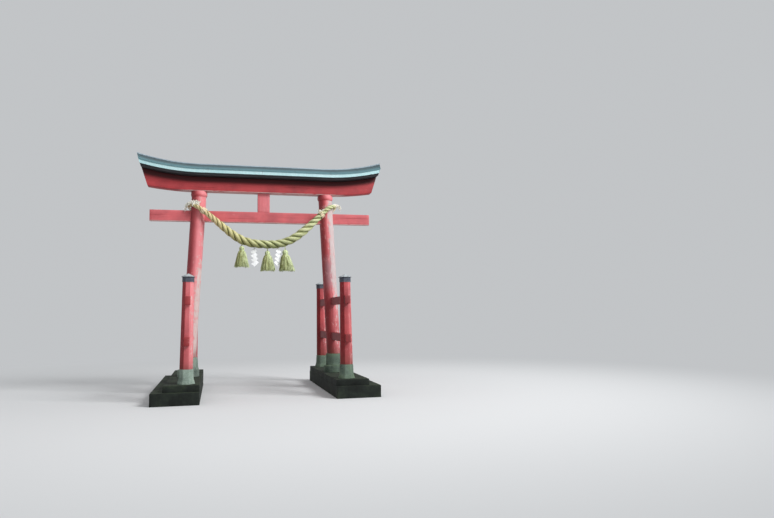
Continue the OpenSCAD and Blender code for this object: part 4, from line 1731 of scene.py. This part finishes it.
@dataclass
class StrawRope:
    """The three-strand straw rope, tied to both pillars and hanging between them."""

    route: tuple[Place, ...] = (
        (-1.348, -0.006, 3.416), (-1.334, -0.075, 3.434), (-1.292, -0.135, 3.428), (-1.231, -0.170, 3.398),
        (-1.165, -0.181, 3.360), (-1.085, -0.188, 3.303), (-1.000, -0.192, 3.238), (-0.870, -0.192, 3.127),
        (-0.760, -0.192, 3.033), (-0.640, -0.192, 2.935), (-0.520, -0.192, 2.848), (-0.390, -0.192, 2.776),
        (-0.240, -0.192, 2.731), (-0.100, -0.192, 2.713), (0.050, -0.192, 2.707), (0.200, -0.192, 2.713),
        (0.330, -0.192, 2.735), (0.490, -0.192, 2.798), (0.620, -0.192, 2.880), (0.735, -0.192, 2.970),
        (0.865, -0.192, 3.088), (1.000, -0.192, 3.218), (1.090, -0.188, 3.312), (1.175, -0.181, 3.392),
        (1.245, -0.166, 3.440), (1.303, -0.124, 3.466), (1.337, -0.063, 3.470), (1.345, 0.000, 3.456),
    )
    diameter: float = 0.12
    full_radius: float = 0.0775
    end_radius: float = 0.029
    left_taper_l: float = 1.15
    right_taper_l: float = 0.90
    lay: float = 0.45
    strand_deep: float = 0.455
    strand_wide: float = 0.54
    yarn_turn: float = 0.5
    yarns: int = 15
    facets: int = 60
    wisp_count: int = 420
    straw: Straw = Straw(tone(224, 228, 182), tone(164, 172, 110), tone(88, 98, 42), laid=True)
    loose_straw: Straw = Straw(tone(206, 204, 152), tone(168, 166, 106), tone(104, 108, 54))

    def __post_init__(self) -> None:
        """Works out the centre line, its frames, its radii and the turn of its strands."""
        self.line = smooth_line(self.route, 0.012)
        count = len(self.line)
        self.run = [0.0]
        for a, b in zip(self.line, self.line[1:]):
            self.run.append(self.run[-1] + (b - a).length)
        self.length = self.run[-1]
        self.radii = [self.radius_at(run) for run in self.run]
        self.turns = [0.0]
        for i in range(1, count):
            tight = max(0.42, self.radii[i] / self.full_radius)
            step = self.run[i] - self.run[i - 1]
            self.turns.append(self.turns[-1] - math.tau * step / (self.lay * tight))
        self.frames = [(Vector((0, 1, 0)), Vector((0, 0, 1)))] * count
        middle = count // 2
        for order in (range(middle, count), range(middle, -1, -1)):
            deep = Vector((0, 1, 0))
            for i in order:
                ahead = ahead_at(self.line, i)
                deep = (deep - ahead * deep.dot(ahead)).normalized()
                self.frames[i] = (deep, ahead.cross(deep).normalized())

    def radius_at(self, run: float) -> float:
        """Gives the rope's outer radius at a length along it."""
        share = min(1.0, run / self.left_taper_l, (self.length - run) / self.right_taper_l)
        return self.end_radius + (self.full_radius - self.end_radius) * share

    def around(self, i: int, turn: float, out: float) -> Vector:
        """Gives the point at a turn round the line and a distance from it."""
        deep, up = self.frames[i]
        return self.line[i] + (-math.cos(turn) * deep + math.sin(turn) * up) * out

    def nearest(self, x: float, end: int) -> int:
        """Gives the point of the line at a distance along X, on the front of that side."""
        half = [i for i, spot in enumerate(self.line) if spot.x * end > 0 and spot.y < -0.09]
        return min(half, key=lambda i: abs(self.line[i].x - x))

    def strand_ring(self, i: int, middles: Sequence[Vector], own: float) -> Iterator[Vector]:
        """Gives one ridged ring round a strand, wider along the rope's skin than it is deep.

        Args:
            i: Which point of the rope's line it lies at.
            middles: The line of the strand's middle.
            own: The rope's radius there, as this strand has it.

        Yields:
            The points in turn.
        """
        ahead = ahead_at(middles, i)
        side = ahead.cross(middles[i] - self.line[i]).normalized()
        out = side.cross(ahead)
        for j in range(self.facets):
            turn = math.tau * j / self.facets
            yarn = turn + self.turns[i] * self.yarn_turn
            rim = own * (1 + 0.035 * math.cos(self.yarns * yarn) + 0.012 * math.cos(7 * yarn + 1))
            deep, wide = math.cos(turn) * self.strand_deep, math.sin(turn) * self.strand_wide
            yield middles[i] + (out * deep + side * wide) * rim

    def strands(self) -> bpy.types.Object:
        """Lays the three ridged strands, each pressed broad against the others.

        Returns:
            The rope.
        """
        steps = self.facets
        shape = Shape()
        outwards = shape.bm.verts.layers.float.new("outwards")
        spread = shape.bm.loops.layers.uv.new("UVMap")
        last = len(self.line) - 1
        for k in range(3):
            middles = [
                self.around(i, self.turns[i] + math.tau * k / 3, whole * (1 - self.strand_deep))
                for i, whole in enumerate(self.radii)
            ]
            rings = []
            for i, whole in enumerate(self.radii):
                own = whole * (1 + 0.01 * math.sin(self.run[i] * 31 + k * 2))
                rings.append([shape.bm.verts.new(spot) for spot in self.strand_ring(i, middles, own)])
                for vert in rings[-1]:
                    vert[outwards] = (vert.co - self.line[i]).length / whole
            for i in range(last):
                for j in range(steps):
                    corners = ((j, i), (j + 1, i), (j + 1, i + 1), (j, i + 1))
                    face = shape.bm.faces.new([rings[row][column % steps] for column, row in corners])
                    for loop, (column, row) in zip(face.loops, corners):
                        loop[spread].uv = (column / steps, row / last)
            for ring in (rings[0], rings[-1]):
                shape.bm.faces.new(ring)
        return shape.piece("twisted_straw_rope", self.straw.material("rope_straw"), 60)

    def wisps(self) -> bpy.types.Object:
        """Adds the loose stalks that stand off the rope.

        Returns:
            The stalks.
        """
        rng = random.Random(5)
        bundle = Strands("rope_wisps", 0.0013)
        for _ in range(self.wisp_count):
            i = rng.randrange(8, len(self.line) - 20)
            turn = rng.uniform(0, math.tau)
            length = rng.randrange(3, 8)
            lift = rng.uniform(0.001, 0.016)
            points = []
            for k in range(4):
                j = i + round(length * k / 3)
                out = self.radii[j] * 0.95 + lift * (k / 3) ** 2
                points.append(self.around(j, turn + (self.turns[j] - self.turns[i]) * 0.9, out))
            bundle.add(points, [1.0, 0.9, 0.7, 0.35])
        return bundle.piece(self.loose_straw.material("loose_straw"))

    def build(self) -> None:
        rope = fit(self.strands(), "straw", "straw_rope")
        wisps = fit(self.wisps(), "straw")
        path = [tuple(spot) for spot in self.line]
        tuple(self.route[0])


@dataclass
class RopeTies:
    """The lashings that hold the rope to the pillars, and its frayed ends."""

    rope: StrawRope
    pillar_r: float = 0.131
    cord_r: float = 0.009
    cord_apart: float = 0.011
    levels: tuple[float, float] = (3.356, 3.396)
    whip_x: tuple[float, float] = (-1.075, 1.060)
    tail_ways: tuple[tuple[Place, ...], ...] = (
        (
            (-1.262, -0.150, 3.432), (-1.310, -0.130, 3.448), (-1.360, -0.110, 3.446),
            (-1.398, -0.090, 3.408), (-1.424, -0.070, 3.330),
        ),
        (
            (1.300, -0.110, 3.470), (1.345, -0.070, 3.500), (1.395, -0.050, 3.500),
            (1.435, -0.045, 3.475), (1.462, -0.040, 3.430),
        ),
    )
    stalk_r: float = 0.0034
    tail_stalks: int = 140
    tail_spread: tuple[float, float] = (0.012, 0.020)
    tuft_x: tuple[float, float] = (-1.235, 1.085)
    tufts: int = 22
    tuft_stalks: int = 22
    tuft_rise: tuple[float, float] = (1.0, 0.75)
    tuft_lean: tuple[float, float] = (0.0, 0.02)
    straw: Straw = Straw(tone(253, 252, 246), tone(247, 244, 230), tone(218, 212, 190))
    cord: Straw = Straw(tone(243, 232, 206), tone(231, 213, 178), tone(180, 158, 118))

    def lashing_line(self, side: int, offset: float) -> list[Vector]:
        """Gives one cord's way: round the rope, round the pillar's back and up to the rope's end.

        Args:
            side: The pillar's side.
            offset: How far the cord lies beside the lashing's middle.

        Returns:
            The points of the cord's middle.
        """
        index = (side + 1) // 2
        whip = self.rope.nearest(self.whip_x[index], side)
        points = []
        steps, turns = 14, 2.5
        last = round(steps * turns)
        for k in range(last + 1):
            i = whip + side * round(offset * 100 + k * 0.1)
            turn = math.pi + side * (last - k) * math.tau / steps
            points.append(self.rope.around(i, turn, self.rope.radii[i] + self.cord_r * 0.8))
        out = self.pillar_r + self.cord_r * 1.2
        for degrees in range(-10, 200, 14):
            turn = math.radians(degrees)
            z = self.levels[index] + offset + 0.006 * math.sin(turn * 2 + offset * 90)
            x = side * (GATE.pillar_x(z) - out * math.cos(turn))
            points.append(Vector((x, out * math.sin(turn), z)))
        tip = self.rope.line[0] if side < 0 else self.rope.line[-1]
        for aside, y, z in ((0.034, -0.035, -0.012), (0.022, -0.075, 0.036), (-0.03, -0.090, 0.044)):
            points.append(tip + Vector((side * aside, y, z)))
        return smooth_line(points, 0.008)

    def lashing(self, name: str, side: int) -> bpy.types.Object:
        """Builds the twisted cords round one pillar.

        Args:
            name: The name of the pillar's side.
            side: -1 is left and 1 right.

        Returns:
            The cords.
        """
        bundle = Strands(f"{name}_lashing", self.cord_r * 0.58, 1)
        upright = 0.9
        for offset in (-self.cord_apart, self.cord_apart):
            line = self.lashing_line(side, offset)
            for yarn in (0.0, math.pi):
                wound = []
                for k, spot in enumerate(line):
                    ahead = ahead_at(line, k)
                    level = ahead.orthogonal() if abs(ahead.z) > upright else ahead.cross(Vector((0, 0, 1)))
                    across = level.normalized()
                    turn = k * 0.85 + yarn
                    out = across * math.cos(turn) + ahead.cross(across) * math.sin(turn)
                    wound.append(spot + out * self.cord_r * 0.45)
                bundle.add(wound)
        return bundle.piece(self.cord.material(f"{name}_lashing_straw"))

    def spray(
        self, bundle: Strands, guide: Sequence[Place], count: int, near: float, far: float, rng: random.Random
    ) -> None:
        """Lays stalks along a guide, which part towards its end.

        Args:
            bundle: What they are added to.
            guide: The points of the guide.
            count: How many stalks there are.
            near: How far they lie from the guide at its start.
            far: How far at its end.
            rng: Where their chance values come from.
        """
        line = smooth_line(guide, 0.016)
        for _ in range(count):
            off = Vector((rng.gauss(0, 1), rng.gauss(0, 0.8), rng.gauss(0, 1)))
            reach = rng.uniform(0.5, 1.0)
            drop = rng.uniform(0.0, 0.03)
            points = []
            for k in range(max(3, round(len(line) * reach))):
                share = k / (len(line) - 1)
                spread = near + (far - near) * share * share
                points.append(line[k] + off * spread - Vector((0, 0, drop)) * share * share)
            bundle.add(points, [1 - 0.6 * (k / (len(points) - 1)) ** 2 for k in range(len(points))])

    def fray(self, name: str, side: int) -> bpy.types.Object:
        """Builds the frayed stalks at one end of the rope and over its tie.

        Args:
            name: The name of the pillar's side.
            side: -1 is left and 1 right.

        Returns:
            The stalks.
        """
        rng = random.Random(80 + side)
        bundle = Strands(f"{name}_frayed_end", self.stalk_r)
        index = (side + 1) // 2
        self.spray(bundle, self.tail_ways[index], self.tail_stalks, 0.009, self.tail_spread[index], rng)
        i = self.rope.nearest(self.tuft_x[index], side)
        foot = self.rope.line[i] + Vector((0, -0.012, self.rope.radii[i] * 0.5))
        for _ in range(self.tufts):
            lean = rng.uniform(-0.05, 0.045) - self.tuft_lean[index]
            aside = (rng.uniform(-0.055, 0.055), rng.uniform(-0.008, 0.008), rng.uniform(-0.02, 0.01))
            rise = rng.uniform(0.05, 0.1) * self.tuft_rise[index]
            start = foot + Vector(aside)
            guide = [start + Vector((lean * t * t, -0.022 * t, rise * t)) for t in (0, 0.35, 0.7, 1.0)]
            self.spray(bundle, [tuple(p) for p in guide], self.tuft_stalks, 0.005, 0.011, rng)
        return bundle.piece(self.straw.material(f"{name}_frayed_straw"))

    def build(self) -> None:
        """Builds the lashings and frayed ends on both pillars."""
        for name, side in SIDES:
            fit(self.lashing(name, side), "straw", f"{name}_rope_tie")
            fit(self.fray(name, side), "straw")


@dataclass(frozen=True)
class Tassel:
    """One bound bundle of straw hung from the rope."""

    name: str
    hang: Place
    head_z: float
    neck_z: float
    hem_z: float
    hem_r: float
    lean: float = 0.0
    head_r: float = 0.045
    neck_r: float = 0.037
    stalks: int = 460
    stalk_r: float = 0.0027
    cord_r: float = 0.0032

    def axis(self, z: float) -> Vector:
        """Gives the point of the tassel's axis at a height."""
        x, y, _ = self.hang
        return Vector((x + self.lean * (self.head_z - z), y, z))

    def bell(self, share: float) -> float:
        """Gives the skirt's radius at a share of the way from neck to hem."""
        full = self.hem_r * (0.38 + 0.62 * max(0.0, share) ** 0.62)
        return self.neck_r + (full - self.neck_r) * min(1.0, max(0.0, share) / 0.09) ** 0.6

    def head(self, share: float) -> float:
        """Gives the head's radius at a share of the way from neck to crown."""
        return self.head_r * math.sqrt(max(0.0, 1 - ((share - 0.36) / 0.68) ** 2))

    def skirt(self, rng: random.Random) -> Strands:
        """Lays the stalks of the skirt and folds those of the head.

        Args:
            rng: Where the chance values come from.

        Returns:
            The bundle of stalks.
        """
        bundle = Strands(f"{self.name}_stalks", self.stalk_r)
        drop, rise = self.neck_z - self.hem_z, self.head_z - self.neck_z
        steps = 8
        for i in range(self.stalks):
            turn = math.tau * i / self.stalks * 7 + rng.uniform(-0.02, 0.02)
            layer = (0.97, 0.9, 1.0, 0.8)[i % 4] + rng.uniform(-0.035, 0.03)
            layer += 0.045 * math.sin(turn * 13 + math.sin(turn * 2))
            reach = 1 + rng.uniform(-0.12, 0.03) + 0.025 * math.sin(turn * 3)
            drift = rng.uniform(-0.07, 0.07)
            splay = rng.uniform(-0.006, 0.016)
            points = []
            for k in range(steps + 1):
                share = (k / steps) ** 1.25 * reach
                out = self.bell(share) * layer + splay * share ** 3
                points.append(self.axis(self.neck_z - drop * share) + level_way(turn + drift * share) * out)
            bundle.add(points, [0.8, 0.9, 1, 1, 1, 1, 1.05, 1.1, 0.8])
        loops = 44
        for i in range(loops):
            way = level_way(math.tau * i / loops)
            shares = [k / steps for k in range(steps + 1)]
            points = [self.axis(self.neck_z + rise * share) + way * self.head(share) for share in shares]
            bundle.add(points, [1.4] * len(points))
        return bundle

    def heart(self) -> Shape:
        """Shapes the inside that shows between the stalks, in a darker straw that is painted shade.

        Returns:
            The inside.
        """
        shape = Shape()
        drop, rise = self.neck_z - self.hem_z, self.head_z - self.neck_z
        inside = 0.9
        skirt, head = (0.95, 0.8, 0.6, 0.4, 0.25, 0.12, 0.04), (0.0, 0.2, 0.4, 0.6, 0.8, 0.92)
        levels = [(self.bell(share) * inside, self.neck_z - drop * share) for share in skirt]
        levels += [(self.head(share) * inside, self.neck_z + rise * share) for share in head]
        for vert in shape.shaft(32, levels):
            vert.co += self.axis(vert.co.z) - Vector((0, 0, vert.co.z))
        return shape

    def binding(self) -> Strands:
        """Winds the cord round the neck and leads it up into the rope.

        Returns:
            The cord.
        """
        bundle = Strands(f"{self.name}_binding", self.cord_r, 1)
        steps, turns, pitch = 24, 4, 0.0055
        points = []
        for k in range(steps * turns + 1):
            spot = self.axis(self.neck_z - 0.012 + pitch * k / steps)
            points.append(spot + level_way(math.tau * k / steps) * (self.neck_r + 0.004))
        bundle.add(points)
        start = self.axis(self.head_z - 0.012)
        for aside in (-0.006, 0.006):
            shares = [k / 4 for k in range(5)]
            points = [start.lerp(Vector(self.hang), t) + Vector((aside * (1 - t), 0, 0)) for t in shares]
            bundle.add(points, [1.5] * len(points))
        return bundle

    def build(self, stalk: bpy.types.Material, inner_shade: bpy.types.Material, node: str) -> None:
        """Builds the tassel's pieces in its two straws, for the node that they stand for.

        Args:
            stalk: The straw of the stalks.
            inner_shade: The straw of the inside.
            node: The frame's node.
        """
        rng = random.Random(len(self.name) * 13)
        fit(self.skirt(rng).piece(stalk), "straw", node)
        self.heart().fit(f"{self.name}_heart", inner_shade, "straw", node, smooth=60)
        fit(self.binding().piece(stalk), "straw", node)


@dataclass(frozen=True)
class Streamer:
    """One zigzag paper streamer of slanted panels, each folded forward over the one above."""

    name: str
    first: Place
    step: tuple[float, float]
    panels: tuple[tuple[float, float], ...]
    side: int
    rope_z: float
    slant: float = math.radians(46)
    paper_t: float = 0.0008

    def shape(self) -> Shape:
        """Folds the strip: each panel slants, and lies a step lower, forward and to one side.

        Returns:
            The strip.
        """
        shape = Shape()
        long_way = Vector((math.cos(self.slant), 0, self.side * math.sin(self.slant)))
        short_way = Vector((-self.side * math.sin(self.slant), 0, math.cos(self.slant)))
        for i, (length, width) in enumerate(self.panels):
            middle = Vector(self.first) + Vector((self.step[0], -0.004, -self.step[1])) * i
            for vert in bmesh.ops.create_grid(shape.bm, x_segments=7, y_segments=5, size=0.5)["verts"]:
                u, v = vert.co.x, vert.co.y
                deep = 0.016 * v + (0.006 if i % 2 else -0.004) * u + 0.006 * (u * u - v * v)
                vert.co = middle + long_way * u * length + short_way * v * width + Vector((0, deep, 0))
        x, y, z = self.first
        for vert in bmesh.ops.create_grid(shape.bm, x_segments=2, y_segments=6, size=0.5)["verts"]:
            u, v = vert.co.x, vert.co.y
            up = v + 0.5
            aside = self.side * 0.026 * up + u * 0.03
            back = 0.010 + 0.003 * math.sin(5 * v)
            vert.co = Vector((x + aside, y + back, z + up * (self.rope_z - z)))
        bmesh.ops.solidify(shape.bm, geom=shape.bm.faces[:], thickness=self.paper_t)
        return shape

    def build(self, paper: bpy.types.Material, node: str) -> None:
        """Builds the streamer for the node that it stands for."""
        self.shape().fit(self.name, paper, "white_paper", node, smooth=40)


@dataclass
class Hangings:
    """The tassels and streamers along the rope."""

    stalk: Straw = Straw(tone(224, 235, 190), tone(190, 200, 148), tone(120, 132, 80), hem=True)
    # The inside's straw is darker than the stalks': painted shade.
    inner_shade: Straw = Straw(tone(152, 167, 112), tone(120, 134, 82), tone(82, 94, 52))
    paper: Paper = Paper()
    tassels: tuple[Tassel, ...] = (
        Tassel("left_tassel_bundle", (-0.407, -0.192, 2.740), 2.667, 2.590, 2.284, 0.119),
        Tassel("centre_tassel_bundle", (0.060, -0.192, 2.660), 2.582, 2.511, 2.216, 0.127, 0.03),
        Tassel("right_tassel_bundle", (0.385, -0.192, 2.690), 2.606, 2.524, 2.214, 0.134, 0.09, 0.050),
    )
    left: Streamer = Streamer(
        "left_paper_fold", (-0.190, -0.186, 2.577), (0.0085, 0.0735),
        ((0.092, 0.066), (0.102, 0.072), (0.106, 0.074), (0.112, 0.080)), 1, 2.672,
    )
    right: Streamer = Streamer(
        "right_paper_fold", (0.266, -0.186, 2.579), (-0.0085, 0.0725),
        ((0.086, 0.064), (0.092, 0.068), (0.096, 0.069), (0.100, 0.070)), -1, 2.680,
    )

    def build(self) -> None:
        """Builds all that hangs from the rope."""
        stalk = self.stalk.material("tassel_straw")
        inner_shade = self.inner_shade.material("tassel_inner_shade_straw")
        paper = self.paper.material("streamer_paper")
        for tassel, node in zip(self.tassels, ("left_tassel", "centre_tassel", "right_tassel")):
            tassel.build(stalk, inner_shade, node)
        self.left.build(paper, "left_streamer")
        self.right.build(paper, "right_streamer")


@dataclass
class Studio:
    """A pale floor, soft lamps and a camera where the photograph was taken from."""

    spot: Place = (-0.852, -12.522, 1.380)
    heading: float = math.radians(14.583)
    pitch: float = math.radians(4.825)
    roll: float = math.radians(-0.727)
    lens: float = 30.5557
    floor_tone: Colour = (0.66, 0.67, 0.68)
    backdrop: Colour = (0.54, 0.555, 0.57)
    sky_light: float = 0.31
    sky_tone: Colour = (0.96, 0.98, 1.0)
    floor_r: float = 120
    floor_fades: tuple[float, float] = (4.5, 11.0)
    lamps: tuple[tuple[str, Place, Place, float, float], ...] = (
        ("key_lamp", (20.0, -18.75, 21.4), (0, 0, 2.4), 12.5, 10900),
        ("top_lamp", (-1.0, 0.0, 18.0), (0, 0, 2.0), 14.0, 820),
    )

    def camera(self) -> None:
        """Sets the camera."""
        level = Vector((math.sin(self.heading), math.cos(self.heading), 0))
        ahead = level * math.cos(self.pitch) + Vector((0, 0, math.sin(self.pitch)))
        right = Vector((math.cos(self.heading), -math.sin(self.heading), 0))
        up = right.cross(ahead)
        across = right * math.cos(self.roll) + up * math.sin(self.roll)
        over = up * math.cos(self.roll) - right * math.sin(self.roll)
        data = bpy.data.cameras.new("camera")
        data.lens = self.lens
        data.sensor_width = 36
        data.clip_end = 500
        made = linked("camera", data)
        turn = Matrix((across, over, -ahead)).transposed().to_4x4()
        made.matrix_world = Matrix.Translation(self.spot) @ turn
        bpy.context.scene.camera = made

    def floor(self) -> None:
        """Lays the floor, which rays of the camera and of reflections see as the backdrop far off."""
        material = bpy.data.materials.new("pale_floor")
        bench = Bench(material)
        spot = bench.node("ShaderNodeTexCoord", take="Object")
        away = bench.node("ShaderNodeVectorMath", {"operation": "LENGTH"}, {0: spot}, take="Value")
        far_off = away.between(*self.floor_fades) * bench.seen("Camera", "Glossy")
        near = bench.node("ShaderNodeBsdfPrincipled", None, {"Base Color": self.floor_tone, "Roughness": 0.9})
        far = bench.node("ShaderNodeEmission", None, {"Color": self.backdrop, "Strength": 1.0})
        bench.end(bench.node("ShaderNodeMixShader", None, {0: far_off, 1: near, 2: far}))
        shape = Shape()
        bmesh.ops.create_circle(shape.bm, segments=96, radius=self.floor_r, cap_ends=True)
        made = shape.piece("floor", material)
        made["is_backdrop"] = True

    def lamp(self, name: str, spot: Place, aim: Place, size: float, power: float) -> None:
        """Hangs one soft square lamp.

        Args:
            name: Its name.
            spot: Where it hangs.
            aim: What it looks at.
            size: Its width.
            power: Its power in watts.
        """
        data = bpy.data.lights.new(name, "AREA")
        data.size = size
        data.energy = power
        made = linked(name, data)
        made.location = spot
        made.rotation_euler = (Vector(aim) - Vector(spot)).to_track_quat("-Z", "Y").to_euler()

    def world(self) -> None:
        """Sets a soft even sky, which rays of the camera, reflections and glass see as the backdrop."""
        sky = bpy.data.worlds.new("sky")
        bpy.context.scene.world = sky
        bench = Bench(sky)
        seen = bench.seen("Camera", "Glossy", "Transmission")
        strength = bench.node("ShaderNodeMapRange", None, {0: seen, 3: self.sky_light, 4: 1.0})
        colour = bench.blend(self.sky_tone, self.backdrop, seen)
        bench.end(bench.node("ShaderNodeBackground", None, {"Strength": strength, "Color": colour}), "World")

    def build(self) -> None:
        """Sets up the whole studio."""
        self.camera()
        self.floor()
        self.world()
        for lamp in self.lamps:
            self.lamp(*lamp)


def main() -> None:
    """Builds the studio, the rope and the rest of the gate in order."""
    logging.basicConfig(level=logging.INFO, format="%(name)s: %(message)s")
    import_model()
    frame_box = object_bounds()
    bpy.context.scene.view_settings.view_transform = "Standard"
    Studio().build()
    rope = StrawRope()
    rope.build()
    RopeTies(rope).build()
    Hangings().build()
    Plinths().build()
    MainPillars().build()
    SupportPosts().build()
    Beams().build()
    lintels = Lintels()
    lintels.build()
    Roof(lintels).build()
    boxes = {"frame": [list(corner) for corner in frame_box], "visual": [list(corner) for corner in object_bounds()]}
    log.info("frame %s, visual %s", boxes["frame"], boxes["visual"])


if __name__ == "__main__":
    main()
